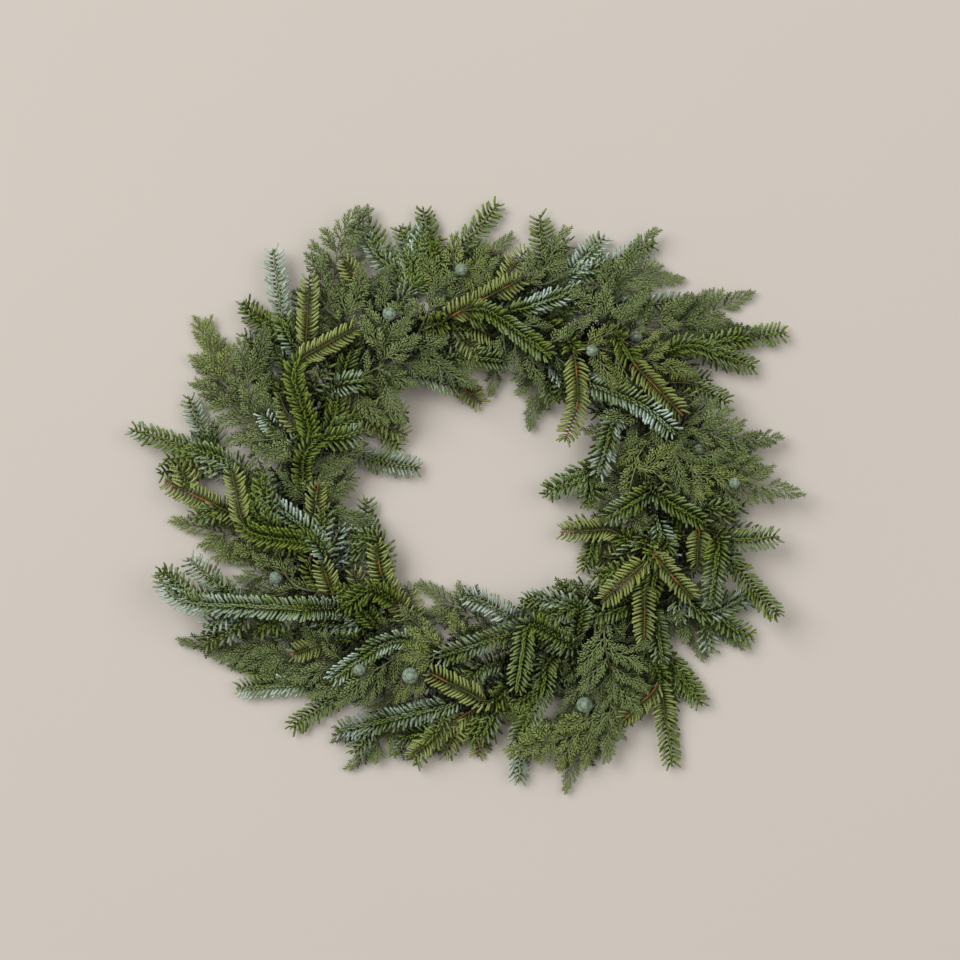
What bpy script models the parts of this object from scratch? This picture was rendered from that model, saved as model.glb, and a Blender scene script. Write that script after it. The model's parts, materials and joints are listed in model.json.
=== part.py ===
"""Evergreen wreath lying on its back: fir boughs and cypress sprays bound to a wire ring.

The layout is worked out in millimetres, and the meshes are made in metres.
+Z points up from the surface that the wreath lies on, towards whoever looks at it.
"""

import math
import random

import bmesh
import bpy
import numpy as np
from mathutils import Vector

MM = 0.001

# Layout sheet
# The wreath is laid out on a sheet 960 mm square, seen from above, with x to the right and y
# towards its foot. The photo has the same frame: one of its pixels is one millimetre here.
SHEET_ORIGIN = (462.0, 493.5)
HOLE_CENTRE = (483.0, 490.0)

# Wire ring, and the binding wire wound round it and the stems
RING_RADIUS = 180.0
RING_WIRE = 1.6
RING_HEIGHT = 10.0
BINDING_WIRE = 0.45
BINDING_LOOP = ((0.0, 9.9), (4.7, 7.2), (6.2, 2.4), (0.0, -2.9), (-6.2, 2.4), (-4.7, 7.2))
BINDING_TURNS = 48
BINDING_LEAD = 10.0
BINDING_SQUARENESS = 0.8
RING_STEP = 6
RING_SIDES = 5
BINDING_SIDES = 3
BUNDLE_HEIGHT = 3.0
BUNDLE_REACH = 7.5

# Stems on the ring: three lanes, each given as (outwards, upwards) from the ring's wire
LANES = ((2.8, 3.1), (-2.8, 3.1), (0.0, 6.6))
LANE_LENGTH = 38.0
LANE_STEPS = 3
LANE_LEAD = 40.0
LANE_FLARE = 0.12
LANE_RISE = 0.3
BOUND_LENGTHS = (38.0, 32.0, 26.0, 20.0, 14.0)
STEM_RADIUS = 2.2
STEM_STEP = 16.0

# Side stems: each starts thin inside its bough's main stem, at a fair length and with a gap
ROOT_RADIUS = 0.5
ROOT_LENGTH = 22.0
ROOT_RANGE = (8.0, 130.0)
STALK_EXTRA = 0.3

# How a stem may be pushed aside to pass the others, and what counts when the ways are compared
SIDEWAYS = (0, 5, -5, 10, -10, 16, -16, 24, -24, 34, -34)
UPWARDS = (0, 5, -5, 10, -10, 16, -16, 24)
WANTED_GAP = 1.0
NEARBY = 45.0
BRIDGE_EASE = 1.2
TURN_COST = 60.0
GAP_COST = 60.0
LENGTH_COST = 0.4
OTHERS_COST = 0.4
LEAST_GAIN = 0.01

# Foliage
TWIG_RADIUS = {"fir": 1.3, "cypress": 1.1}
SPACING = {"fir": 15.0, "cypress": 12.5}
HALF_BAND = 1.3
REACH = {"fir": 17.0, "cypress": 20.0}
HALF_DEPTH = {"fir": 7.5, "cypress": 5.5}
TAPER = 0.25
SECTION = (30.0, 150.0, 270.0)
TOUCH = 0.5
LAID_SHARE = 0.8
SLOPES = (0.0, 0.12, -0.12, 0.25, -0.25, 0.4)
SLOPE_COST = 8.0
FLOOR_HEIGHT = 7.0

# Needles: length, how much shorter they are at the tip, and the ranges that each is drawn from
NEEDLE_LENGTH = {"fir": 17.0, "cypress": 21.0}
NEEDLE_TAPER = {"fir": 0.25, "cypress": 0.57}
NEEDLE_SPREAD = {"fir": (0.9, 1.08), "cypress": (0.7, 1.1)}
NEEDLE_SWEEP = {"fir": (0.55, 0.75), "cypress": (0.8, 1.0)}
NEEDLE_RISE = {"fir": (0.0, 0.3), "cypress": (-0.1, 0.1)}
TOP_NEEDLE = {"lean": 0.7, "share": 0.6}
NEEDLE_CLEARANCE = 1.5
NEEDLE_HALF = 0.7
NEEDLE_LEAD = 0.12
NEEDLE_TILTS = (0.0, 0.3, -0.3, 0.6, -0.5)
NEEDLE_SHARES = (1.0, 0.75, 0.5)
NEEDLE_FLOOR = 2.5
NEEDLE_NEARBY = 60.0

# Cones: each is seated on top of a stem or against its side
CONE_SIDES = (0.0, -0.8, 0.8)
CONE_SEAT = {"cone": 0.95, "stem": 0.75, "gap": 0.25}
CONE_GAP = {"others": 0.6, "own": -0.3}
CONE_GAP_COST = {"others": 30.0, "own": 60.0}
CONE_SEAM = 0.93
CONE_CORE = np.array((0.0, 0.0, 0.01))

# The stems whose sawn butts the wreath rests on, by their place on the ring in degrees
BUTT_ANGLES = (40.0, 160.0, 280.0)
BUTT_RUNS = (20.0, 26.0, 32.0)
BUTT_REACHES = (10.0, 13.0, 16.0)
BUTT_KNEES = (0.25, 0.4, 0.55, 0.7)
BUTT_CHOICE = 3
KNEE_DROP = 0.9
KNEE_REACH = 0.8
BUTT_GAIN = 0.05

# Fir boughs. Each twig is (layer, look, base, ..., tip): layer 1 lies lowest, and the points
# are on the layout sheet. The first twig of a bough ends in the stem that is bound to the ring.
FIR_BOUGHS = {
    "fir_01": (
        (2, "silver", (275, 345), (243, 301)),
        (2, "green", (262, 385), (250, 340)),
        (1, "green", (288, 372), (285, 335)),
    ),
    "fir_02": (
        (3, "silver", (300, 355), (283, 320), (272, 250)),
        (4, "olive", (305, 400), (307, 340), (310, 278)),
    ),
    "fir_03": (
        (5, "olive", (308, 357), (354, 330)),
        (3, "green", (335, 415), (340, 385), (353, 342)),
    ),
    "fir_04": (
        (5, "silver", (292, 447), (263, 415)),
        (5, "silver", (296, 443), (320, 420)),
    ),
    "fir_05": (
        (3, "silver", (212, 455), (131, 430)),
        (2, "green", (220, 462), (158, 473)),
        (1, "silver", (203, 440), (187, 398)),
    ),
    "fir_06": (
        (4, "olive", (270, 540), (245, 520), (165, 482)),
        (4, "olive", (242, 515), (232, 470)),
        (3, "green", (265, 530), (243, 498)),
        (4, "silver", (300, 525), (252, 490)),
    ),
    "fir_07": (
        (5, "olive", (310, 558), (318, 485)),
        (4, "silver", (370, 538), (331, 534)),
        (3, "green", (375, 545), (363, 509), (366, 500)),
    ),
    "fir_08": (
        (4, "silver", (262, 606), (188, 602), (160, 578)),
        (3, "silver", (235, 600), (188, 560)),
        (2, "green", (238, 610), (203, 645)),
    ),
    "fir_09": (
        (5, "silver", (342, 622), (296, 612)),
        (4, "olive", (320, 645), (293, 655)),
        (3, "silver", (280, 635), (258, 615)),
    ),
    "fir_10": (
        (4, "olive", (410, 620), (383, 578), (377, 545)),
        (5, "olive", (337, 605), (322, 562)),
        (4, "silver", (372, 612), (353, 578)),
    ),
    "fir_11": (
        (4, "silver", (335, 683), (236, 690)),
        (3, "green", (335, 697), (291, 729)),
        (5, "silver", (365, 655), (333, 678)),
    ),
    "fir_12": (
        (5, "olive", (487, 702), (455, 722), (412, 757)),
        (5, "olive", (483, 700), (430, 672)),
        (4, "olive", (490, 703), (478, 757)),
    ),
    "fir_13": (
        (4, "silver", (450, 705), (407, 716)),
        (3, "silver", (420, 720), (397, 756)),
        (2, "green", (455, 735), (447, 757)),
        (3, "silver", (380, 723), (337, 733)),
    ),
    "fir_14": (
        (5, "silver", (575, 605), (520, 630), (440, 657)),
        (4, "silver", (520, 625), (490, 605), (467, 597)),
        (5, "green", (525, 632), (517, 688)),
        (3, "green", (580, 590), (520, 612)),
    ),
    "fir_15": (
        (2, "green", (540, 700), (515, 745)),
        (1, "silver", (519, 740), (519, 782)),
    ),
    "fir_16": (
        (3, "green", (660, 640), (665, 700), (673, 767)),
        (4, "green", (655, 620), (662, 660)),
        (5, "green", (640, 640), (628, 691)),
        (2, "green", (678, 670), (703, 706)),
        (3, "olive", (655, 690), (625, 720)),
    ),
    "fir_17": (
        (5, "olive", (646, 540), (643, 635)),
        (5, "olive", (640, 565), (602, 600)),
        (5, "olive", (650, 552), (690, 597)),
        (4, "green", (636, 604), (580, 618)),
    ),
    "fir_18": (
        (4, "green", (700, 527), (735, 540), (778, 537)),
        (3, "green", (720, 540), (755, 590), (778, 615)),
        (4, "olive", (698, 530), (697, 565)),
        (4, "green", (718, 545), (710, 603)),
    ),
    "fir_19": (
        (3, "silver", (680, 575), (680, 620)),
        (2, "silver", (716, 612), (757, 592)),
        (1, "silver", (705, 612), (746, 642)),
    ),
    "fir_20": (
        (4, "silver", (652, 500), (672, 570)),
        (5, "green", (650, 492), (607, 518)),
        (5, "green", (660, 497), (702, 522)),
    ),
    "fir_21": (
        (3, "green", (605, 440), (590, 475), (546, 491)),
        (4, "silver", (612, 425), (598, 475)),
        (2, "green", (590, 480), (587, 503)),
    ),
    "fir_22": (
        (4, "olive", (610, 530), (562, 532)),
        (3, "green", (597, 540), (585, 570)),
    ),
    "fir_23": (
        (5, "olive", (574, 360), (577, 402), (565, 440)),
        (3, "silver", (548, 358), (565, 382)),
        (2, "green", (550, 375), (552, 402)),
    ),
    "fir_24": (
        (5, "silver", (590, 384), (640, 405), (672, 432)),
        (4, "green", (590, 375), (625, 370), (655, 390)),
        (5, "olive", (635, 368), (680, 415)),
    ),
    "fir_25": (
        (3, "green", (650, 346), (700, 342), (787, 332)),
        (3, "green", (700, 347), (755, 366)),
        (4, "green", (650, 365), (728, 402)),
        (2, "green", (660, 375), (712, 380)),
    ),
    "fir_26": (
        (3, "silver", (600, 268), (655, 241)),
        (2, "silver", (580, 262), (604, 236)),
        (2, "silver", (640, 305), (688, 300)),
        (1, "green", (545, 262), (540, 215)),
    ),
    "fir_27": (
        (5, "silver", (487, 320), (540, 303), (578, 288)),
        (5, "olive", (455, 315), (520, 280)),
        (4, "olive", (450, 316), (507, 342)),
        (5, "green", (500, 320), (548, 357)),
    ),
    "fir_28": (
        (4, "silver", (378, 380), (417, 375), (457, 387)),
        (3, "olive", (375, 400), (370, 368)),
    ),
    "fir_31": (
        (3, "olive", (450, 375), (480, 402)),
        (3, "green", (440, 352), (510, 362)),
    ),
    "fir_29": (
        (4, "olive", (352, 410), (407, 412)),
        (2, "green", (385, 430), (398, 448)),
        (2, "silver", (382, 462), (418, 468)),
    ),
    "fir_30": (
        (3, "green", (448, 256), (475, 230), (497, 203)),
        (3, "green", (433, 262), (423, 208)),
        (2, "silver", (410, 270), (400, 228)),
        (2, "silver", (380, 258), (358, 226)),
        (3, "olive", (370, 300), (345, 262)),
    ),
}

# Cypress sprays, given in the same way
CYPRESS_SPRAYS = {
    "cypress_01": (
        (3, "grey", (250, 420), (200, 385)),
        (2, "yellow", (225, 385), (195, 321)),
        (3, "grey", (250, 400), (240, 345)),
    ),
    "cypress_02": (
        (2, "grey", (330, 300), (340, 235), (356, 211)),
        (2, "grey", (322, 300), (321, 263)),
    ),
    "cypress_03": (
        (4, "grey", (380, 367), (412, 345), (440, 280)),
        (4, "grey", (385, 360), (385, 285)),
    ),
    "cypress_04": (
        (3, "yellow", (455, 270), (520, 262)),
        (2, "grey", (480, 262), (508, 237)),
        (2, "grey", (530, 290), (565, 232)),
    ),
    "cypress_05": (
        (2, "grey", (600, 290), (640, 275), (677, 278)),
        (3, "grey", (640, 330), (690, 298)),
        (2, "grey", (680, 325), (748, 294)),
    ),
    "cypress_06": (
        (4, "grey", (555, 350), (640, 330)),
        (4, "yellow", (600, 350), (690, 372)),
    ),
    "cypress_07": (
        (3, "grey", (640, 420), (768, 442)),
        (2, "grey", (660, 430), (762, 470)),
    ),
    "cypress_08": (
        (3, "grey", (625, 440), (710, 470), (795, 493)),
        (4, "yellow", (640, 470), (740, 480)),
        (1, "grey", (725, 495), (733, 517)),
    ),
    "cypress_09": (
        (1, "grey", (500, 340), (492, 388)),
    ),
    "cypress_17": (
        (1, "grey", (545, 350), (531, 422)),
    ),
    "cypress_10": (
        (2, "grey", (640, 455), (605, 490)),
        (2, "grey", (620, 515), (605, 575)),
    ),
    "cypress_11": (
        (2, "grey", (680, 590), (704, 655)),
        (2, "grey", (640, 690), (615, 732)),
    ),
    "cypress_12": (
        (4, "grey", (610, 640), (590, 710), (568, 788)),
        (3, "grey", (612, 690), (608, 758)),
        (2, "yellow", (560, 740), (510, 750)),
    ),
    "cypress_13": (
        (1, "grey", (460, 610), (423, 586)),
        (1, "grey", (540, 640), (470, 630)),
    ),
    "cypress_14": (
        (3, "grey", (430, 640), (345, 665)),
        (3, "yellow", (425, 660), (360, 700)),
        (1, "grey", (385, 735), (352, 768)),
    ),
    "cypress_15": (
        (2, "grey", (300, 660), (235, 668)),
        (1, "grey", (260, 645), (183, 643)),
    ),
    "cypress_16": (
        (3, "grey", (300, 600), (222, 550)),
        (2, "yellow", (250, 540), (175, 522)),
        (3, "grey", (280, 560), (270, 510)),
    ),
}

# Cones: (spray that bears it, place on the sheet, diameter)
CONES = (
    ("cypress_04", (443, 266), 13.0),
    ("cypress_03", (404, 310), 14.0),
    ("cypress_05", (634, 344), 13.0),
    ("cypress_06", (582, 354), 12.0),
    ("cypress_07", (691, 459), 12.0),
    ("cypress_08", (731, 487), 11.0),
    ("cypress_12", (555, 698), 17.0),
    ("cypress_14", (408, 676), 17.0),
    ("cypress_15", (356, 696), 12.0),
    ("cypress_16", (278, 567), 14.0),
)

COLOURS = {
    "wire_ring": (0.05, 0.07, 0.05, 1.0),
    "binding_wire": (0.04, 0.09, 0.04, 1.0),
    "fir": (0.10, 0.16, 0.06, 1.0),
    "cypress": (0.15, 0.21, 0.09, 1.0),
    "cone": (0.33, 0.46, 0.38, 1.0),
}


class Twig:
    """One leafy twig: its plan on the sheet, its centreline in space and its needles."""

    def __init__(self, node, kind, layer, look, points, seed):
        self.node = node
        self.kind = kind
        self.layer = layer
        self.look = look
        self.plan = resample([on_plan(point) for point in points], SPACING[kind])
        self.seed = seed
        self.lane = None
        self.rests = False
        self.stem = []
        self.leaves = []
        self.parent = None
        self.needles = []

    def axis(self):
        """The whole centreline: bare stem, then the leafy part up to its tip."""
        return np.array(self.stem + self.leaves)

    def radius(self, place):
        """The twig's radius at a point of its centreline, thinner towards the tip."""
        if self.parent is not None and place == 0:
            return ROOT_RADIUS
        if place < len(self.stem):
            return STEM_RADIUS if self.parent is None else TWIG_RADIUS[self.kind] + STALK_EXTRA
        along = (place - len(self.stem)) / max(1, len(self.leaves) - 1)
        return TWIG_RADIUS[self.kind] * (1.0 - TAPER * along)


def on_plan(point):
    """A sheet point as X and Y of the wreath's frame."""
    return np.array((point[0] - SHEET_ORIGIN[0], SHEET_ORIGIN[1] - point[1]))


def on_ring(degrees, outwards=0.0, upwards=0.0):
    """A point beside the ring, its angle taken clockwise from the top of the sheet."""
    turn = math.radians(degrees)
    centre = on_plan(HOLE_CENTRE)
    reach = RING_RADIUS + outwards
    return np.array(
        (
            centre[0] + reach * math.sin(turn),
            centre[1] + reach * math.cos(turn),
            RING_HEIGHT + upwards,
        )
    )


def ring_angle(point):
    """The clockwise angle of a point round the ring, in degrees."""
    away = np.array(point[:2]) - on_plan(HOLE_CENTRE)
    return math.degrees(math.atan2(away[0], away[1])) % 360.0


def ring_middle(point):
    """The middle of the hole at a point's own height."""
    return np.append(on_plan(HOLE_CENTRE), point[2])


def ring_degrees(length):
    """The angle that a length along the ring spans."""
    return math.degrees(length / RING_RADIUS)


def smooth_curve(points, steps=12):
    """A Catmull-Rom curve through the points."""
    points = [np.array(point, float) for point in points]
    ends = [2 * points[0] - points[1]] + points + [2 * points[-1] - points[-2]]
    curve = []
    for start in range(len(points) - 1):
        before, here, there, after = ends[start : start + 4]
        for step in range(steps):
            t = step / steps
            curve.append(
                0.5
                * (
                    2 * here
                    + (there - before) * t
                    + (2 * before - 5 * here + 4 * there - after) * t**2
                    + (3 * here - before - 3 * there + after) * t**3
                )
            )
    curve.append(points[-1])
    return np.array(curve)


def resample(points, spacing):
    """Evenly spaced points along a smooth curve through the given ones, about spacing apart."""
    curve = smooth_curve(points)
    lengths = np.concatenate(([0.0], np.cumsum(np.linalg.norm(np.diff(curve, axis=0), axis=1))))
    count = max(2, round(lengths[-1] / spacing))
    places = np.linspace(0.0, lengths[-1], count + 1)
    columns = [np.interp(places, lengths, curve[:, column]) for column in range(curve.shape[1])]
    return np.stack(columns, axis=1)


def dense(points, spacing=3.0):
    """Points close together along the straight runs between the given ones."""
    points = np.array(points)
    rows = [points[:1]]
    for start, end in zip(points[:-1], points[1:]):
        count = max(1, math.ceil(np.linalg.norm(end - start) / spacing))
        share = (np.arange(count) + 1.0)[:, None] / count
        rows.append(start + (end - start) * share)
    return np.concatenate(rows)


def make_twigs():
    """The twigs of every bough and spray, as named in the tables."""
    twigs = []
    for kind, table in (("fir", FIR_BOUGHS), ("cypress", CYPRESS_SPRAYS)):
        for node, rows in table.items():
            for layer, look, *points in rows:
                twigs.append(Twig(node, kind, layer, look, points, len(twigs)))
    return twigs


def pile_up(twigs):
    """Lay the leafy parts down one by one, each just clear of those already beneath it."""
    ring = np.array([on_ring(degrees)[:2] for degrees in range(0, 360, 2)])
    laid = [(ring, np.full(len(ring), RING_HEIGHT + BUNDLE_HEIGHT), BUNDLE_REACH, BUNDLE_REACH)]
    for twig in sorted(twigs, key=lambda each: (each.layer, each.seed)):
        reach = LAID_SHARE * REACH[twig.kind]
        depth = HALF_DEPTH[twig.kind]
        needed = np.full(len(twig.plan), FLOOR_HEIGHT)
        for plan, heights, width, below in laid:
            gap = np.linalg.norm(twig.plan[:, None] - plan[None], axis=2)
            over = gap < TOUCH * (reach + width)
            needed = np.maximum(needed, np.where(over, heights + depth + below, 0.0).max(axis=1))
        along = np.arange(len(twig.plan)) * SPACING[twig.kind]
        best = None
        for slope in SLOPES:
            base = (needed - slope * along).max()
            cost = base + 0.5 * slope * along[-1] + SLOPE_COST * abs(slope)
            if best is None or cost < best[0]:
                best = (cost, base + slope * along)
        twig.leaves = [np.append(spot, height) for spot, height in zip(twig.plan, best[1])]
        laid.append((twig.plan, best[1], reach, depth))


def bend(first, second):
    """How sharply one direction turns into another: 0 for straight on, 4 for straight back."""
    return (1.0 - unit(first) @ unit(second)) ** 2


def slot_cost(twig, heel):
    """How badly a twig's stem would lie if its heel were bound to the ring at this angle."""
    lane_end = on_ring(heel + ring_degrees(LANE_LENGTH), 0.0, LANES[2][1])
    chord = twig.leaves[0] - lane_end
    onward = twig.leaves[1] - twig.leaves[0]
    length = np.linalg.norm(chord)
    leaving = bend(ring_way(lane_end), chord)
    return abs(length - LANE_LEAD) + TURN_COST * (leaving + bend(chord, onward))


def bough_cost(bough, heel):
    """How badly a whole bough would lie: its best twig leads, and the others count for less."""
    costs = [slot_cost(twig, heel) for twig in bough]
    return min(costs) + OTHERS_COST * (sum(costs) - min(costs))


def lead_twigs(twigs):
    """For each bough the twig that leads to the ring, its heel's angle and its lane.

    The heels are spread evenly round the ring, then swapped while that makes the stems lie better.
    """
    boughs = {}
    for twig in twigs:
        boughs.setdefault(twig.node, []).append(twig)
    order = sorted(boughs.values(), key=lambda bough: ring_angle(bough[0].leaves[0]))
    heels = [place * 360.0 / len(order) for place in range(len(order))]
    costs = [[bough_cost(bough, heel) for heel in heels] for bough in order]
    slots = list(range(len(order)))
    improved = True
    while improved:
        improved = False
        for one in range(len(order)):
            for two in range(one):
                now = costs[one][slots[one]] + costs[two][slots[two]]
                swapped = costs[one][slots[two]] + costs[two][slots[one]]
                if swapped < now - LEAST_GAIN:
                    slots[one], slots[two] = slots[two], slots[one]
                    improved = True
    leads = []
    for bough, slot in zip(order, slots):
        lead = min(bough, key=lambda twig: slot_cost(twig, heels[slot]))
        leads.append((lead, heels[slot], slot % len(LANES)))
    return leads


def lane_stem(heel, lane, length=LANE_LENGTH):
    """The bound part of a stem: along its lane on the ring from the heel's angle."""
    outwards, upwards = LANES[lane]
    span = ring_degrees(length)
    steps = range(LANE_STEPS + 1)
    return [on_ring(heel + span * step / LANE_STEPS, outwards, upwards) for step in steps]


def bridge(start, start_way, end, end_way, shift):
    """A bent run of stem between two points, pushed aside in its middle by a shift."""
    length = np.linalg.norm(end - start)
    count = max(2, round(length / STEM_STEP))
    points = []
    for step in range(1, count):
        t = step / count
        ease = t * t * (3 - 2 * t)
        leaving = t * (1 - t) ** 2 * length * BRIDGE_EASE
        arriving = t * t * (1 - t) * length * BRIDGE_EASE
        middle = math.sin(math.pi * t) ** 2
        spot = start + (end - start) * ease + start_way * leaving - end_way * arriving
        points.append(spot + shift * middle)
    return points


def unit(vector):
    """The vector at length one."""
    return vector / max(1e-9, np.linalg.norm(vector))


def side_shifts(start, end):
    """Ways to push a stem aside, the smallest first."""
    across = unit(np.cross(end - start, (0.0, 0.0, 1.0)))
    shifts = []
    for sideways in SIDEWAYS:
        for upwards in UPWARDS:
            shifts.append(across * sideways + np.array((0.0, 0.0, float(upwards))))
    return sorted(shifts, key=lambda shift: np.linalg.norm(shift))


def clearance(points, radius, others):
    """The least gap between a run of stem and the centrelines of other nodes."""
    run = dense(points)
    gaps = np.linalg.norm(run[:, None] - others[None, :, :3], axis=2) - others[None, :, 3]
    return gaps.min() - radius


class Pile:
    """Every centreline laid so far, with its radius and node."""

    def __init__(self):
        self.rows = {}

    def add(self, node, points, radius):
        run = dense(points)
        sized = np.concatenate([run, np.full((len(run), 1), radius)], axis=1)
        self.rows.setdefault(node, []).append(sized)

    def others(self, node):
        """The centreline points of every node but this one."""
        rows = [row for name, group in self.rows.items() if name != node for row in group]
        return np.concatenate(rows)


def nearby(rows, start, end):
    """The rows within reach of a stem between two points."""
    middle = (start + end) / 2
    reach = np.linalg.norm(end - start) / 2 + NEARBY
    return rows[np.linalg.norm(rows[:, :3] - middle, axis=1) < reach]


def ring_way(point):
    """The clockwise direction along the ring beside a point."""
    turn = math.radians(ring_angle(point))
    return np.array((math.cos(turn), -math.sin(turn), 0.0))


def route(start, start_way, end, end_way, radius, others):
    """The straightest bridge that keeps clear, with its clearance."""
    close = nearby(others, start, end)
    best = (-99.0, [], 0.0)
    for shift in side_shifts(start, end):
        points = bridge(start, start_way, end, end_way, shift)
        if min(point[2] for point in points) < FLOOR_HEIGHT:
            continue
        gap = clearance([start] + points + [end], radius, close)
        if gap > best[0] + LEAST_GAIN:
            best = (gap, points, np.linalg.norm(shift))
        if gap > WANTED_GAP:
            break
    return best


def lay_stems(twigs, binding):
    """Give every twig its stem: the leads to the ring, the others to the bough's lead."""
    pile = Pile()
    pile.add("binding_wire", binding, BINDING_WIRE)
    pile.add("wire_ring", [on_ring(degrees) for degrees in range(0, 362, 4)], RING_WIRE)
    for twig in twigs:
        pile.add(twig.node, twig.leaves, TWIG_RADIUS[twig.kind])
    leads = lead_twigs(twigs)
    for twig, heel, lane in leads:
        twig.stem = lane_stem(heel, lane)
        twig.lane = lane
        pile.add(twig.node, twig.stem, STEM_RADIUS)
    for twig, heel, lane in leads:
        others = pile.others(twig.node)
        end = twig.leaves[0]
        end_way = unit(twig.leaves[1] - twig.leaves[0])
        best = None
        for length in BOUND_LENGTHS:
            bound = lane_stem(heel, lane, length)
            start = bound[-1]
            outwards = LANE_FLARE * LANES[lane][0] * unit(start - ring_middle(start))
            start_way = unit(ring_way(start) + outwards + np.array((0.0, 0.0, LANE_RISE)))
            gap, points, shift = route(start, start_way, end, end_way, STEM_RADIUS, others)
            turns = bend(start_way, end - start) + bend(end - start, end_way)
            cost = shift + TURN_COST * turns - GAP_COST * min(gap, WANTED_GAP)
            if best is None or cost < best[0]:
                best = (cost, bound + points)
        twig.stem = best[1]
        pile.add(twig.node, twig.stem[LANE_STEPS:] + [end], STEM_RADIUS)
    lead_of = {twig.node: twig for twig, heel, lane in leads}
    for twig in twigs:
        if twig.stem:
            continue
        lead = lead_of[twig.node]
        twig.parent = lead
        radius = TWIG_RADIUS[twig.kind] + STALK_EXTRA
        others = pile.others(twig.node)
        end = twig.leaves[0]
        end_way = unit(twig.leaves[1] - twig.leaves[0])
        spine = lead.axis()[LANE_STEPS:-2]
        best = None
        for first, second in zip(spine[:-1], spine[1:]):
            start = (first + second) / 2
            length = np.linalg.norm(end - start)
            if not ROOT_RANGE[0] <= length <= ROOT_RANGE[1]:
                continue
            onward = unit(second - first)
            start_way = unit(onward + unit(end - start))
            gap, points, shift = route(start, start_way, end, end_way, radius, others)
            turns = bend(onward, end - start) + bend(end - start, end_way)
            cost = shift + TURN_COST * turns - GAP_COST * min(gap, WANTED_GAP)
            cost += LENGTH_COST * abs(length - ROOT_LENGTH)
            if best is None or cost < best[0]:
                best = (cost, [start] + points)
        twig.stem = best[1]
        pile.add(twig.node, twig.stem + [end], radius)
    return pile


def binding_path():
    """The binding wire's centreline: it crosses over the stems squarely and moves on below."""
    points = []
    for turn in range(BINDING_TURNS):
        for place, (outwards, upwards) in enumerate(BINDING_LOOP):
            share = place / len(BINDING_LOOP)
            ease = math.sin(2 * math.pi * share) / (2 * math.pi)
            onward = turn + share - BINDING_SQUARENESS * ease
            degrees = 360.0 * onward / BINDING_TURNS + ring_degrees(BINDING_LEAD)
            points.append(on_ring(degrees, outwards, upwards))
    return points


def twig_frame(axis, place):
    """Onward, side and up directions at one point of a centreline."""
    before = axis[max(0, place - 1)]
    after = axis[min(len(axis) - 1, place + 1)]
    onward = unit(after - before)
    side = unit(np.cross(onward, (0.0, 0.0, 1.0)))
    return onward, side, np.cross(side, onward)


def needle_wishes(twig):
    """Where each needle would like to end: (point on the centreline, face, ways and lengths)."""
    rng = random.Random(twig.seed)
    axis = twig.axis()
    wishes = []
    for place in range(len(twig.stem), len(axis) - 1):
        onward, side, up = twig_frame(axis, place)
        along = (place - len(twig.stem)) / max(1, len(twig.leaves) - 1)
        for face in (0, 1, 2):
            hand = (0.0, -1.0, 1.0)[face]
            length = NEEDLE_LENGTH[twig.kind] * (1.0 - NEEDLE_TAPER[twig.kind] * along)
            length *= rng.uniform(*NEEDLE_SPREAD[twig.kind])
            sweep = rng.uniform(*NEEDLE_SWEEP[twig.kind])
            rise = rng.uniform(*NEEDLE_RISE[twig.kind])
            if face == 0:
                if twig.kind == "cypress" or place % 2:
                    continue
                way = onward + up * TOP_NEEDLE["lean"]
                length *= TOP_NEEDLE["share"]
            else:
                way = onward * sweep + side * hand + up * rise
            wishes.append((axis[place], place, face, unit(way), length, up))
    return wishes


def segment_gaps(start, end, starts, ends):
    """Distances between one segment and many."""
    one = end - start
    many = ends - starts
    between = start - starts
    a = one @ one
    e = (many * many).sum(axis=1)
    b = many @ one
    c = between @ one
    f = (many * between).sum(axis=1)
    spread = np.maximum(a * e - b * b, 1e-9)
    s = np.clip((b * f - c * e) / spread, 0.0, 1.0)
    t = np.clip((b * s + f) / e, 0.0, 1.0)
    s = np.clip((b * t - c) / a, 0.0, 1.0)
    near = start + one * s[:, None]
    far = starts + many * t[:, None]
    return np.linalg.norm(near - far, axis=1)


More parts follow.
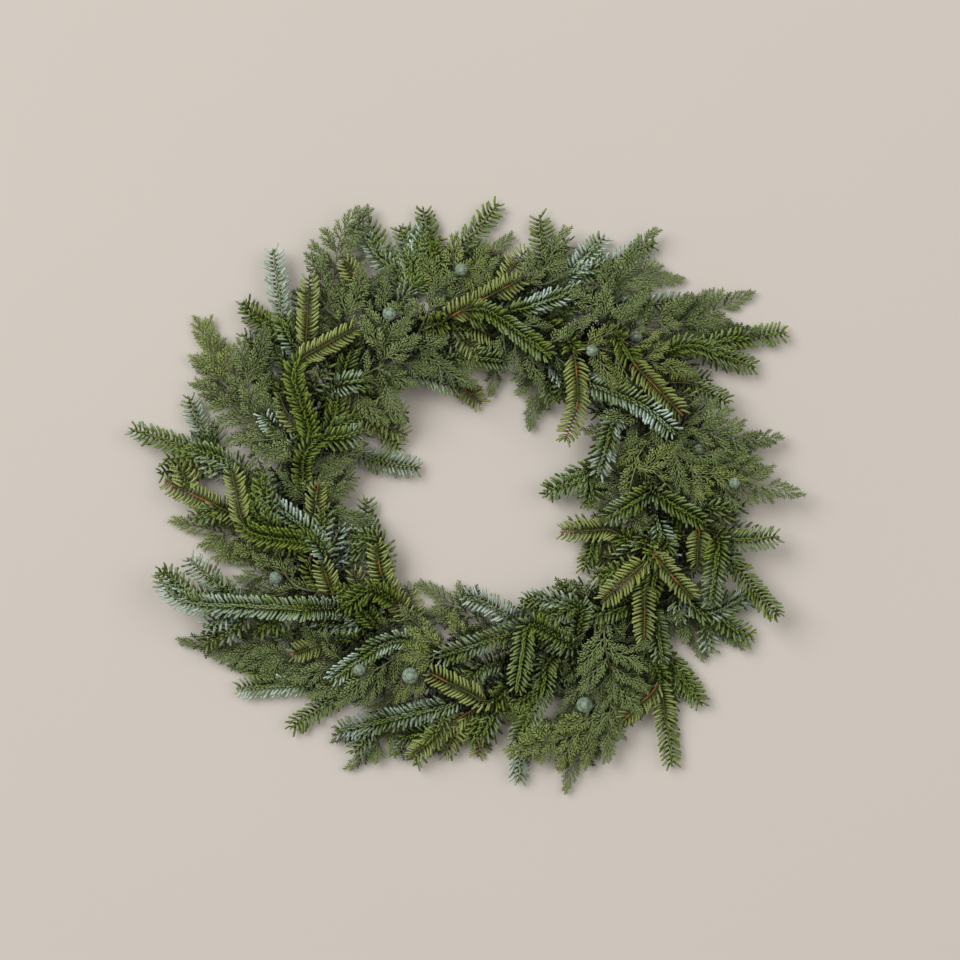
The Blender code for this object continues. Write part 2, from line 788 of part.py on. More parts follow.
def grow_needles(twigs, binding, cones):
    """Give each twig the needles that stay clear of all else, turned or shortened to fit."""
    starts, ends, widths, owners = [], [], [], []

    def add(start, end, width, owner):
        starts.append(start)
        ends.append(end)
        widths.append(width)
        owners.append(owner)

    for number, twig in enumerate(twigs):
        axis = twig.axis()
        for place in range(len(axis) - 1):
            add(axis[place], axis[place + 1], twig.radius(place), number)
    for start, end in zip(binding, binding[1:] + binding[:1]):
        add(start, end, BINDING_WIRE, -1)
    for degrees in range(0, 360, RING_STEP):
        add(on_ring(degrees), on_ring(degrees + RING_STEP), RING_WIRE, -1)
    for cone in cones:
        add(cone["centre"], cone["centre"] + CONE_CORE, cone["radius"], -1)
    arrays = (np.array(starts), np.array(ends), np.array(widths), np.array(owners))
    extra = [[], [], [], []]
    for number in sorted(range(len(twigs)), key=lambda each: -twigs[each].layer):
        twig = twigs[number]
        wishes = needle_wishes(twig)
        centre = twig.axis().mean(axis=0)
        reach = np.linalg.norm(twig.axis() - centre, axis=1).max() + NEEDLE_NEARBY
        table = [np.concatenate([base, np.array(more)]) if len(more) else base
                 for base, more in zip(arrays, extra)]
        close = np.linalg.norm(table[0] - centre, axis=1) < reach
        close &= table[3] != number
        table = [column[close] for column in table]
        for root, place, face, way, length, up in wishes:
            chosen = None
            for tilt in NEEDLE_TILTS:
                for share in NEEDLE_SHARES:
                    end = root + unit(way + up * tilt) * length * share
                    if end[2] < NEEDLE_FLOOR:
                        continue
                    lead = root + (end - root) * NEEDLE_LEAD
                    gaps = segment_gaps(lead, end, table[0], table[1]) - table[2]
                    if gaps.min() > NEEDLE_CLEARANCE:
                        chosen = end
                        break
                if chosen is not None:
                    break
            if chosen is None:
                continue
            twig.needles.append((place, face, chosen))
            extra[0].append(root)
            extra[1].append(chosen)
            extra[2].append(NEEDLE_HALF)
            extra[3].append(number)


def place_cones(twigs, pile):
    """Seat each cone on a frond of its spray, as near as it can be to its place on the plan."""
    cones = []
    for number, (spray, point, diameter) in enumerate(CONES):
        target = on_plan(point)
        radius = diameter / 2
        spots = []
        for twig in twigs:
            if twig.node != spray:
                continue
            axis = twig.axis()
            for place in range(len(axis) - 1):
                if place <= LANE_STEPS and twig.parent is None:
                    continue
                onward, side, up = twig_frame(axis, place)
                middle = (axis[place] + axis[place + 1]) / 2
                seat_radius = CONE_SEAT["cone"] * radius + CONE_SEAT["gap"]
                seat_radius += CONE_SEAT["stem"] * twig.radius(place)
                for hand in CONE_SIDES:
                    seat = middle + unit(up + side * hand) * seat_radius
                    spots.append((np.linalg.norm(seat[:2] - target), seat))
        spots.sort(key=lambda spot: spot[0])
        others = pile.others(spray)
        own = np.concatenate(pile.rows[spray])
        best = None
        for away, seat in spots:
            free = (np.linalg.norm(others[:, :3] - seat, axis=1) - others[:, 3]).min() - radius
            beside = (np.linalg.norm(own[:, :3] - seat, axis=1) - own[:, 3]).min() - radius
            cost = away + CONE_GAP_COST["others"] * max(0.0, CONE_GAP["others"] - free)
            cost += CONE_GAP_COST["own"] * max(0.0, CONE_GAP["own"] - beside)
            if best is None or cost < best[0]:
                best = (cost, seat)
        seat = best[1]
        cones.append({"node": f"cone_{number + 1:02d}", "centre": seat, "radius": radius})
        pile.add(cones[-1]["node"], [seat, seat + CONE_CORE], radius)
    return cones


def new_material(name, colour, roughness=0.6, metallic=0.0):
    """A plain Principled material."""
    material = bpy.data.materials.new(name)
    material.use_nodes = True
    shader = material.node_tree.nodes["Principled BSDF"]
    shader.inputs["Base Color"].default_value = colour
    shader.inputs["Roughness"].default_value = roughness
    shader.inputs["Metallic"].default_value = metallic
    return material


def add_object(name, mesh):
    """Link a mesh into the scene under a name."""
    item = bpy.data.objects.new(name, mesh)
    bpy.context.scene.collection.objects.link(item)
    return item


def loop_curve(name, points):
    """A closed curve with straight runs between the points."""
    curve = bpy.data.curves.new(name, "CURVE")
    curve.dimensions = "3D"
    spline = curve.splines.new("POLY")
    spline.points.add(len(points) - 1)
    for spot, point in zip(spline.points, points):
        spot.co = (*[value * MM for value in point], 1.0)
    spline.use_cyclic_u = True
    return curve


def wire_object(name, points, radius, sides, material):
    """A closed loop of wire with a few sides."""
    turns = [-2 * math.pi * side / sides for side in range(sides)]
    section = [(radius * math.cos(turn), radius * math.sin(turn), 0.0) for turn in turns]
    profile = add_object(name + "_section", loop_curve(name + "_section", section))
    profile.hide_render = True
    profile.display_type = "WIRE"
    curve = loop_curve(name, points)
    curve.bevel_mode = "OBJECT"
    curve.bevel_object = profile
    curve.materials.append(material)
    return add_object(name, curve)


def ring_corners(centre, side, up, radius, flip):
    """The three corners of the twig's section at one place."""
    corners = []
    for degrees in SECTION:
        turn = math.radians(degrees)
        lift = math.sin(turn) * (-1.0 if flip else 1.0)
        corners.append(Vector((centre + (side * math.cos(turn) + up * lift) * radius) * MM))
    return corners


def twig_mesh(twig):
    """A twig's slim core, drawn out ring by ring, with its needles raised from the core's faces."""
    axis = twig.axis()
    flip = twig.look == "olive"
    rings = []
    bands = []
    for place in range(len(axis) - 1):
        onward, side, up = twig_frame(axis, place)
        radius = twig.radius(place)
        if place < len(twig.stem):
            rings.append(ring_corners(axis[place], side, up, radius, flip))
            continue
        for shift in (-HALF_BAND, HALF_BAND):
            centre = axis[place] + onward * shift
            rings.append(ring_corners(centre, side, up, radius, flip))
        bands.append((len(rings) - 2, place))
    if twig.parent is None and twig.rests:
        rings[0] = cut_level(rings[0], rings[1])
    mesh = bpy.data.meshes.new(twig.node)
    bm = bmesh.new()
    corners = [bm.verts.new(corner) for corner in rings[0]]
    cap = bm.faces.new(corners)
    tags = {}
    last = corners
    for number, ring in enumerate(rings[1:]):
        result = bmesh.ops.extrude_face_region(bm, geom=[cap])
        if number:
            bmesh.ops.delete(bm, geom=[cap], context="FACES_ONLY")
        fresh = [item for item in result["geom"] if isinstance(item, bmesh.types.BMVert)]
        cap = [item for item in result["geom"] if isinstance(item, bmesh.types.BMFace)][0]
        ordered = []
        for vert in last:
            for edge in vert.link_edges:
                other = edge.other_vert(vert)
                if other in fresh:
                    ordered.append(other)
        for vert, corner in zip(ordered, ring):
            vert.co = corner
        tags[number] = (last, ordered)
        last = ordered
    tip = bmesh.ops.poke(bm, faces=[cap])["verts"][0]
    tip.co = Vector(axis[-1] * MM)
    wanted = {(place, face): end for place, face, end in twig.needles}
    pairs = {0: (0, 1), 1: (1, 2), 2: (2, 0)}
    for band, place in bands:
        low, high = tags[band]
        for face, (one, two) in pairs.items():
            if (place, face) not in wanted:
                continue
            square = next(
                item for item in low[one].link_faces
                if low[two] in item.verts and high[one] in item.verts
            )
            apex = bmesh.ops.poke(bm, faces=[square])["verts"][0]
            apex.co = Vector(wanted[(place, face)] * MM)
    bmesh.ops.triangulate(bm, faces=bm.faces[:])
    bmesh.ops.recalc_face_normals(bm, faces=bm.faces[:])
    bm.to_mesh(mesh)
    bm.free()
    return mesh


def cut_level(ring, following):
    """The first ring of a butt, slid along the stem to where the floor cuts it."""
    onward = sum(following, Vector()) / 3 - sum(ring, Vector()) / 3
    return [corner - onward * (corner.z / onward.z) for corner in ring]


def is_one_body(mesh):
    """True where every edge has two faces and the faces hang together by their edges."""
    bm = bmesh.new()
    bm.from_mesh(mesh)
    bm.faces.ensure_lookup_table()
    reached = set()
    waiting = list(bm.faces[:1])
    while waiting:
        face = waiting.pop()
        if face.index in reached:
            continue
        reached.add(face.index)
        waiting.extend(item for edge in face.edges for item in edge.link_faces)
    whole = 0 < len(reached) == len(bm.faces)
    whole = whole and all(len(edge.link_faces) == 2 for edge in bm.edges)
    bm.free()
    return whole


def holds_all(mesh, pieces):
    """True where the mesh reaches as far as every piece that went into it."""
    corners = [vert.co for vert in mesh.vertices]
    for piece in pieces:
        for axis in range(3):
            far = max(vert.co[axis] for vert in piece.vertices)
            near = min(vert.co[axis] for vert in piece.vertices)
            if max(co[axis] for co in corners) < far - MM or min(co[axis] for co in corners) > near + MM:
                return False
    return True


def union(base, helper, solver):
    """The mesh of two objects joined by union."""
    step = base.modifiers.new("union", "BOOLEAN")
    step.operation = "UNION"
    step.solver = solver
    step.object = helper
    depsgraph = bpy.context.evaluated_depsgraph_get()
    mesh = bpy.data.meshes.new_from_object(base.evaluated_get(depsgraph))
    base.modifiers.clear()
    return mesh


def fused(name, meshes, material):
    """One solid from overlapping ones, joined to the first one by one."""
    base = add_object(name, meshes[0])
    for mesh in meshes[1:]:
        helper = add_object(name + "_twig", mesh)
        joined = union(base, helper, "EXACT")
        if not (is_one_body(joined) and holds_all(joined, (base.data, mesh))):
            joined = union(base, helper, "MANIFOLD")
        base.data = joined
        bpy.data.objects.remove(helper)
    base.data.materials.clear()
    base.data.materials.append(material)
    return base


def cone_object(cone, material):
    """A round cypress cone: its shield scales bulge and the seams between them sink in."""
    bm = bmesh.new()
    bmesh.ops.create_icosphere(bm, subdivisions=2, radius=cone["radius"] * MM)
    for vert in bm.verts:
        if len(vert.link_edges) == 6:
            vert.co *= CONE_SEAM
        vert.co += Vector(cone["centre"] * MM)
    mesh = bpy.data.meshes.new(cone["node"])
    bm.to_mesh(mesh)
    bm.free()
    mesh.materials.append(material)
    return add_object(cone["node"], mesh)


def butt_ways(twig):
    """The ways a stem's heel could bend down to the floor, each as its two lowest points."""
    side = 1.0 if LANES[twig.lane][0] > 0 else -1.0
    heel = ring_angle(twig.stem[0])
    for run in BUTT_RUNS:
        for reach in BUTT_REACHES:
            for share in BUTT_KNEES:
                foot = on_ring(heel - ring_degrees(run), side * reach, -RING_HEIGHT)
                knee_height = -RING_HEIGHT * (1.0 - share) * KNEE_DROP
                knee_angle = heel - ring_degrees(run * share)
                knee = on_ring(knee_angle, side * reach * KNEE_REACH, knee_height)
                yield [foot, knee]


def rest_on_butts(twigs, pile):
    """Bring the heels of three stems down to the floor, where they are sawn level."""
    leads = [twig for twig in twigs if twig.parent is None and twig.lane < 2]
    for wanted in BUTT_ANGLES:
        leads.sort(key=lambda twig: abs(ring_angle(twig.stem[0]) - wanted))
        best = None
        for twig in leads[:BUTT_CHOICE]:
            if twig.rests:
                continue
            others = pile.others(twig.node)
            for butt in butt_ways(twig):
                gap = clearance(butt + twig.stem[:1], STEM_RADIUS, others)
                if best is None or gap > best[0] + BUTT_GAIN:
                    best = (gap, twig, butt)
        gap, twig, butt = best
        twig.rests = True
        twig.stem = butt + twig.stem
        pile.add(twig.node, twig.stem[:3], STEM_RADIUS)


def layout():
    """The twigs with their stems and needles, the binding wire's centreline and the cones."""
    twigs = make_twigs()
    pile_up(twigs)
    binding = binding_path()
    pile = lay_stems(twigs, binding)
    rest_on_butts(twigs, pile)
    cones = place_cones(twigs, pile)
    grow_needles(twigs, binding, cones)
    return twigs, binding, cones


def build():
    """Clear the scene and model the wreath."""
    for item in list(bpy.data.objects):
        bpy.data.objects.remove(item)
    materials = {name: new_material(name, colour) for name, colour in COLOURS.items()}
    twigs, binding, cones = layout()
    ring = [on_ring(degrees) for degrees in range(0, 360, RING_STEP)]
    wire_object("wire_ring", ring, RING_WIRE, RING_SIDES, materials["wire_ring"])
    wire_object("binding_wire", binding, BINDING_WIRE, BINDING_SIDES, materials["binding_wire"])
    for node in list(FIR_BOUGHS) + list(CYPRESS_SPRAYS):
        group = [twig for twig in twigs if twig.node == node]
        fused(node, [twig_mesh(twig) for twig in group], materials[group[0].kind])
    for cone in cones:
        cone_object(cone, materials["cone"])


if __name__ == "__main__":
    build()
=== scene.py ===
import json
import math
import random
from collections import namedtuple

import bmesh
import bpy
import numpy as np
from mathutils import Matrix, Vector

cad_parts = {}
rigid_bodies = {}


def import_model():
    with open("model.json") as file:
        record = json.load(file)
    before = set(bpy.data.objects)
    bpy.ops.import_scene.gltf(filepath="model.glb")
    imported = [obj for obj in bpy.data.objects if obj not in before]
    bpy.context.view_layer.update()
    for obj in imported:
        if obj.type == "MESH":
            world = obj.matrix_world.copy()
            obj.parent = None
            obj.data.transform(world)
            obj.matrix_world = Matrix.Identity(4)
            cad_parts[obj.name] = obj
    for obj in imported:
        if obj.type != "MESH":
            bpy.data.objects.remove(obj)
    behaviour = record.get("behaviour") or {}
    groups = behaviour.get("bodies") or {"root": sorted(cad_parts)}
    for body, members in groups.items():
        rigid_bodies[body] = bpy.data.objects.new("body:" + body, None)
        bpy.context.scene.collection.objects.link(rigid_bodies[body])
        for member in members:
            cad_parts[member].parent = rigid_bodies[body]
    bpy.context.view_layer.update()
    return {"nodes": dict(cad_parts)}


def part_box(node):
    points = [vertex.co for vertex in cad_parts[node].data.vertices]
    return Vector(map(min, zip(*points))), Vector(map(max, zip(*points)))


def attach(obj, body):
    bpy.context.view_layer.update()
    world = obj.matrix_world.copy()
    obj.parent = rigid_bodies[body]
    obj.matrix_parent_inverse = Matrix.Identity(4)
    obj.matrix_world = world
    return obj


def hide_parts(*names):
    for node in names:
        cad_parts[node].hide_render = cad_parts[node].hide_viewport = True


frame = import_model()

MM = 0.001
UPRIGHT = (0.0, 0.0, 1.0)

# Layout sheet
# The wreath is laid out on a sheet 960 mm square, seen from above, with x to the right and y
# towards its foot. The photo has the same frame: one of its pixels is one millimetre here.
SHEET_ORIGIN = (462.0, 493.5)
HOLE_CENTRE = (483.0, 490.0)

# Wire ring, and the binding wire wound round it and the stems
RING_RADIUS = 180.0
RING_WIRE = 1.6
RING_HEIGHT = 10.0
BINDING_WIRE = 0.45
BINDING_LOOP = ((0.0, 9.9), (4.7, 7.2), (6.2, 2.4), (0.0, -2.9), (-6.2, 2.4), (-4.7, 7.2))
BINDING_TURNS = 48
BINDING_LEAD = 10.0
BINDING_SQUARENESS = 0.8
BUNDLE_HEIGHT = 3.0
BUNDLE_REACH = 7.5

# Stems on the ring: three lanes, each given as (outwards, upwards) from the ring's wire
LANES = ((2.8, 3.1), (-2.8, 3.1), (0.0, 6.6))
LANE_LENGTH = 38.0
LANE_STEPS = 3
LANE_LEAD = 40.0
LANE_FLARE = 0.12
LANE_RISE = 0.3
BOUND_LENGTHS = (38.0, 32.0, 26.0, 20.0, 14.0)
STEM_RADIUS = 2.2
STEM_STEP = 16.0

# Side stems: each starts thin inside its bough's main stem, at a fair length and with a gap
ROOT_RADIUS = 0.5
ROOT_LENGTH = 22.0
ROOT_RANGE = (8.0, 130.0)
STALK_EXTRA = 0.3

# How a stem may be pushed aside to pass the others, and what counts when the ways are compared
SIDEWAYS = (0, 5, -5, 10, -10, 16, -16, 24, -24, 34, -34)
UPWARDS = (0, 5, -5, 10, -10, 16, -16, 24)
WANTED_GAP = 1.0
NEARBY = 45.0
BRIDGE_EASE = 1.2
TURN_COST = 60.0
GAP_COST = 60.0
LENGTH_COST = 0.4
OTHERS_COST = 0.4
LEAST_GAIN = 0.01

# Foliage
TWIG_RADIUS = {"fir": 1.3, "cypress": 1.1}
SPACING = {"fir": 15.0, "cypress": 12.5}
REACH = {"fir": 17.0, "cypress": 20.0}
HALF_DEPTH = {"fir": 7.5, "cypress": 5.5}
TAPER = 0.25
TOUCH = 0.5
LAID_SHARE = 0.8
SLOPES = (0.0, 0.12, -0.12, 0.25, -0.25, 0.4)
SLOPE_COST = 8.0
FLOOR_HEIGHT = 7.0

# The stems whose sawn butts the wreath rests on, by their place on the ring in degrees
BUTT_ANGLES = (40.0, 160.0, 280.0)
BUTT_RUNS = (20.0, 26.0, 32.0)
BUTT_REACHES = (10.0, 13.0, 16.0)
BUTT_KNEES = (0.25, 0.4, 0.55, 0.7)
BUTT_CHOICE = 3
KNEE_DROP = 0.9
KNEE_REACH = 0.8
BUTT_GAIN = 0.05

# Fir boughs. Each twig is (layer, look, x, y, ..., x, y) from its base to its tip: layer 1 lies
# lowest, and x and y are on the layout sheet. A bough's stems join in one, bound to the ring.
FIR_BOUGHS = {
    "fir_01": ((2, "silver", 275, 345, 243, 301), (2, "green", 262, 385, 250, 340),
        (1, "green", 288, 372, 285, 335)),
    "fir_02": ((3, "silver", 300, 355, 283, 320, 272, 250),
        (4, "olive", 305, 400, 307, 340, 310, 278)),
    "fir_03": ((5, "olive", 308, 357, 354, 330), (3, "green", 335, 415, 340, 385, 353, 342)),
    "fir_04": ((5, "silver", 292, 447, 263, 415), (5, "silver", 296, 443, 320, 420)),
    "fir_05": ((3, "silver", 212, 455, 131, 430), (2, "green", 220, 462, 158, 473),
        (1, "silver", 203, 440, 187, 398)),
    "fir_06": ((4, "olive", 270, 540, 245, 520, 165, 482), (4, "olive", 242, 515, 232, 470),
        (3, "green", 265, 530, 243, 498), (4, "silver", 300, 525, 252, 490)),
    "fir_07": ((5, "olive", 310, 558, 318, 485), (4, "silver", 370, 538, 331, 534),
        (3, "green", 375, 545, 363, 509, 366, 500)),
    "fir_08": ((4, "silver", 262, 606, 188, 602, 160, 578), (3, "silver", 235, 600, 188, 560),
        (2, "green", 238, 610, 203, 645)),
    "fir_09": ((5, "silver", 342, 622, 296, 612), (4, "olive", 320, 645, 293, 655),
        (3, "silver", 280, 635, 258, 615)),
    "fir_10": ((4, "olive", 410, 620, 383, 578, 377, 545), (5, "olive", 337, 605, 322, 562),
        (4, "silver", 372, 612, 353, 578)),
    "fir_11": ((4, "silver", 335, 683, 236, 690), (3, "green", 335, 697, 291, 729),
        (5, "silver", 365, 655, 333, 678)),
    "fir_12": ((5, "olive", 487, 702, 455, 722, 412, 757), (5, "olive", 483, 700, 430, 672),
        (4, "olive", 490, 703, 478, 757)),
    "fir_13": ((4, "silver", 450, 705, 407, 716), (3, "silver", 420, 720, 397, 756),
        (2, "green", 455, 735, 447, 757), (3, "silver", 380, 723, 337, 733)),
    "fir_14": ((5, "silver", 575, 605, 520, 630, 440, 657),
        (4, "silver", 520, 625, 490, 605, 467, 597), (5, "green", 525, 632, 517, 688),
        (3, "green", 580, 590, 520, 612)),
    "fir_15": ((2, "green", 540, 700, 515, 745), (1, "silver", 519, 740, 519, 782)),
    "fir_16": ((3, "green", 660, 640, 665, 700, 673, 767), (4, "green", 655, 620, 662, 660),
        (5, "green", 640, 640, 628, 691), (2, "green", 678, 670, 703, 706),
        (3, "olive", 655, 690, 625, 720)),
    "fir_17": ((5, "olive", 646, 540, 643, 635), (5, "olive", 640, 565, 602, 600),
        (5, "olive", 650, 552, 690, 597), (4, "green", 636, 604, 580, 618)),
    "fir_18": ((4, "green", 700, 527, 735, 540, 778, 537),
        (3, "green", 720, 540, 755, 590, 778, 615), (4, "olive", 698, 530, 697, 565),
        (4, "green", 718, 545, 710, 603)),
    "fir_19": ((3, "silver", 680, 575, 680, 620), (2, "silver", 716, 612, 757, 592),
        (1, "silver", 705, 612, 746, 642)),
    "fir_20": ((4, "silver", 652, 500, 672, 570), (5, "green", 650, 492, 607, 518),
        (5, "green", 660, 497, 702, 522)),
    "fir_21": ((3, "green", 605, 440, 590, 475, 546, 491), (4, "silver", 612, 425, 598, 475),
        (2, "green", 590, 480, 587, 503)),
    "fir_22": ((4, "olive", 610, 530, 562, 532), (3, "green", 597, 540, 585, 570)),
    "fir_23": ((5, "olive", 574, 360, 577, 402, 565, 440), (3, "silver", 548, 358, 565, 382),
        (2, "green", 550, 375, 552, 402)),
    "fir_24": ((5, "silver", 590, 384, 640, 405, 672, 432),
        (4, "green", 590, 375, 625, 370, 655, 390), (5, "olive", 635, 368, 680, 415)),
    "fir_25": ((3, "green", 650, 346, 700, 342, 787, 332), (3, "green", 700, 347, 755, 366),
        (4, "green", 650, 365, 728, 402), (2, "green", 660, 375, 712, 380)),
    "fir_26": ((3, "silver", 600, 268, 655, 241), (2, "silver", 580, 262, 604, 236),
        (2, "silver", 640, 305, 688, 300), (1, "green", 545, 262, 540, 215)),
    "fir_27": ((5, "silver", 487, 320, 540, 303, 578, 288), (5, "olive", 455, 315, 520, 280),
        (4, "olive", 450, 316, 507, 342), (5, "green", 500, 320, 548, 357)),
    "fir_28": ((4, "silver", 378, 380, 417, 375, 457, 387), (3, "olive", 375, 400, 370, 368)),
    "fir_31": ((3, "olive", 450, 375, 480, 402), (3, "green", 440, 352, 510, 362)),
    "fir_29": ((4, "olive", 352, 410, 407, 412), (2, "green", 385, 430, 398, 448),
        (2, "silver", 382, 462, 418, 468)),
    "fir_30": ((3, "green", 448, 256, 475, 230, 497, 203), (3, "green", 433, 262, 423, 208),
        (2, "silver", 410, 270, 400, 228), (2, "silver", 380, 258, 358, 226),
        (3, "olive", 370, 300, 345, 262)),
}

# Cypress sprays, given in the same way
CYPRESS_SPRAYS = {
    "cypress_01": ((3, "grey", 250, 420, 200, 385), (2, "yellow", 225, 385, 195, 321),
        (3, "grey", 250, 400, 240, 345)),
    "cypress_02": ((2, "grey", 330, 300, 340, 235, 356, 211), (2, "grey", 322, 300, 321, 263)),
    "cypress_03": ((4, "grey", 380, 367, 412, 345, 440, 280), (4, "grey", 385, 360, 385, 285)),
    "cypress_04": ((3, "yellow", 455, 270, 520, 262), (2, "grey", 480, 262, 508, 237),
        (2, "grey", 530, 290, 565, 232)),
    "cypress_05": ((2, "grey", 600, 290, 640, 275, 677, 278), (3, "grey", 640, 330, 690, 298),
        (2, "grey", 680, 325, 748, 294)),
    "cypress_06": ((4, "grey", 555, 350, 640, 330), (4, "yellow", 600, 350, 690, 372)),
    "cypress_07": ((3, "grey", 640, 420, 768, 442), (2, "grey", 660, 430, 762, 470)),
    "cypress_08": ((3, "grey", 625, 440, 710, 470, 795, 493), (4, "yellow", 640, 470, 740, 480),
        (1, "grey", 725, 495, 733, 517)),
    "cypress_09": ((1, "grey", 500, 340, 492, 388),),
    "cypress_17": ((1, "grey", 545, 350, 531, 422),),
    "cypress_10": ((2, "grey", 640, 455, 605, 490), (2, "grey", 620, 515, 605, 575)),
    "cypress_11": ((2, "grey", 680, 590, 704, 655), (2, "grey", 640, 690, 615, 732)),
    "cypress_12": ((4, "grey", 610, 640, 590, 710, 568, 788), (3, "grey", 612, 690, 608, 758),
        (2, "yellow", 560, 740, 510, 750)),
    "cypress_13": ((1, "grey", 460, 610, 423, 586), (1, "grey", 540, 640, 470, 630)),
    "cypress_14": ((3, "grey", 430, 640, 345, 665), (3, "yellow", 425, 660, 360, 700),
        (1, "grey", 385, 735, 352, 768)),
    "cypress_15": ((2, "grey", 300, 660, 235, 668), (1, "grey", 260, 645, 183, 643)),
    "cypress_16": ((3, "grey", 300, 600, 222, 550), (2, "yellow", 250, 540, 175, 522),
        (3, "grey", 280, 560, 270, 510)),
}


class Twig:
    """One leafy twig: its plan on the sheet and its centreline in space, bare and leafy."""

    def __init__(self, node, kind, layer, look, points, seed):
        self.node = node
        self.kind = kind
        self.layer = layer
        self.look = look
        self.plan = resample([on_plan(point) for point in points], SPACING[kind])
        self.seed = seed
        self.lane = None
        self.rests = False
        self.stem = []
        self.leaves = []
        self.parent = None

    def axis(self):
        """The whole centreline: bare stem, then the leafy part up to its tip."""
        return np.array(self.stem + self.leaves)

    def radius(self, place):
        """The twig's radius at a point of its centreline, thinner towards the tip."""
        if self.parent is not None and place == 0:
            return ROOT_RADIUS
        if place < len(self.stem):
            return STEM_RADIUS if self.parent is None else TWIG_RADIUS[self.kind] + STALK_EXTRA
        along = (place - len(self.stem)) / max(1, len(self.leaves) - 1)
        return TWIG_RADIUS[self.kind] * (1.0 - TAPER * along)


def on_plan(point):
    """A sheet point as X and Y of the wreath's frame."""
    return np.array((point[0] - SHEET_ORIGIN[0], SHEET_ORIGIN[1] - point[1]))


def on_ring(degrees, outwards=0.0, upwards=0.0):
    """A point beside the ring, its angle taken clockwise from the top of the sheet."""
    turn = math.radians(degrees)
    centre = on_plan(HOLE_CENTRE)
    reach = RING_RADIUS + outwards
    beside = (centre[0] + reach * math.sin(turn), centre[1] + reach * math.cos(turn))
    return np.array((*beside, RING_HEIGHT + upwards))


def ring_angle(point):
    """The clockwise angle of a point round the ring, in degrees."""
    away = np.array(point[:2]) - on_plan(HOLE_CENTRE)
    return math.degrees(math.atan2(away[0], away[1])) % 360.0


def ring_middle(point):
    """The middle of the hole at a point's own height."""
    return np.append(on_plan(HOLE_CENTRE), point[2])


def ring_degrees(length):
    """The angle that a length along the ring spans."""
    return math.degrees(length / RING_RADIUS)


def smooth_curve(points, steps=12):
    """A Catmull-Rom curve through the points."""
    points = [np.array(point, float) for point in points]
    ends = [2 * points[0] - points[1]] + points + [2 * points[-1] - points[-2]]
    curve = []
    for start in range(len(points) - 1):
        before, here, there, after = ends[start : start + 4]
        for step in range(steps):
            t = step / steps
            spot = 2 * here + (there - before) * t
            spot = spot + (2 * before - 5 * here + 4 * there - after) * t**2
            curve.append(0.5 * (spot + (3 * here - before - 3 * there + after) * t**3))
    curve.append(points[-1])
    return np.array(curve)


def run_lengths(curve):
    """How far along a curve each of its points lies."""
    return np.concatenate(([0.0], np.cumsum(np.linalg.norm(np.diff(curve, axis=0), axis=1))))


def resample(points, spacing):
    """Evenly spaced points along a smooth curve through the given ones, about spacing apart."""
    curve = smooth_curve(points)
    lengths = run_lengths(curve)
    count = max(2, round(lengths[-1] / spacing))
    places = np.linspace(0.0, lengths[-1], count + 1)
    columns = [np.interp(places, lengths, curve[:, column]) for column in range(curve.shape[1])]
    return np.stack(columns, axis=1)


def dense(points, spacing=3.0):
    """Points close together along the straight runs between the given ones."""
    points = np.array(points)
    rows = [points[:1]]
    for start, end in zip(points[:-1], points[1:]):
        count = max(1, math.ceil(np.linalg.norm(end - start) / spacing))
        share = (np.arange(count) + 1.0)[:, None] / count
        rows.append(start + (end - start) * share)
    return np.concatenate(rows)


def make_twigs():
    """The twigs of every bough and spray, as named in the tables."""
    twigs = []
    for kind, table in (("fir", FIR_BOUGHS), ("cypress", CYPRESS_SPRAYS)):
        for node, rows in table.items():
            for layer, look, *sheet in rows:
                points = list(zip(sheet[::2], sheet[1::2]))
                twigs.append(Twig(node, kind, layer, look, points, len(twigs)))
    return twigs


def pile_up(twigs):
    """Lay the leafy parts down one by one, each just clear of those already beneath it."""
    ring = np.array([on_ring(degrees)[:2] for degrees in range(0, 360, 2)])
    laid = [(ring, np.full(len(ring), RING_HEIGHT + BUNDLE_HEIGHT), BUNDLE_REACH, BUNDLE_REACH)]
    for twig in sorted(twigs, key=lambda each: (each.layer, each.seed)):
        reach = LAID_SHARE * REACH[twig.kind]
        depth = HALF_DEPTH[twig.kind]
        needed = np.full(len(twig.plan), FLOOR_HEIGHT)
        for plan, heights, width, below in laid:
            gap = np.linalg.norm(twig.plan[:, None] - plan[None], axis=2)
            over = gap < TOUCH * (reach + width)
            needed = np.maximum(needed, np.where(over, heights + depth + below, 0.0).max(axis=1))
        along = np.arange(len(twig.plan)) * SPACING[twig.kind]
        best = None
        for slope in SLOPES:
            base = (needed - slope * along).max()
            cost = base + 0.5 * slope * along[-1] + SLOPE_COST * abs(slope)
            if best is None or cost < best[0]:
                best = (cost, base + slope * along)
        twig.leaves = [np.append(spot, height) for spot, height in zip(twig.plan, best[1])]
        laid.append((twig.plan, best[1], reach, depth))


def bend(first, second):
    """How sharply one direction turns into another: 0 for straight on, 4 for straight back."""
    return (1.0 - unit(first) @ unit(second)) ** 2


def slot_cost(twig, heel):
    """How badly a twig's stem would lie if its heel were bound to the ring at this angle."""
    lane_end = on_ring(heel + ring_degrees(LANE_LENGTH), 0.0, LANES[2][1])
    chord = twig.leaves[0] - lane_end
    onward = twig.leaves[1] - twig.leaves[0]
    length = np.linalg.norm(chord)
    leaving = bend(ring_way(lane_end), chord)
    return abs(length - LANE_LEAD) + TURN_COST * (leaving + bend(chord, onward))


def bough_cost(bough, heel):
    """How badly a whole bough would lie: its best twig leads, and the others count for less."""
    costs = [slot_cost(twig, heel) for twig in bough]
    return min(costs) + OTHERS_COST * (sum(costs) - min(costs))


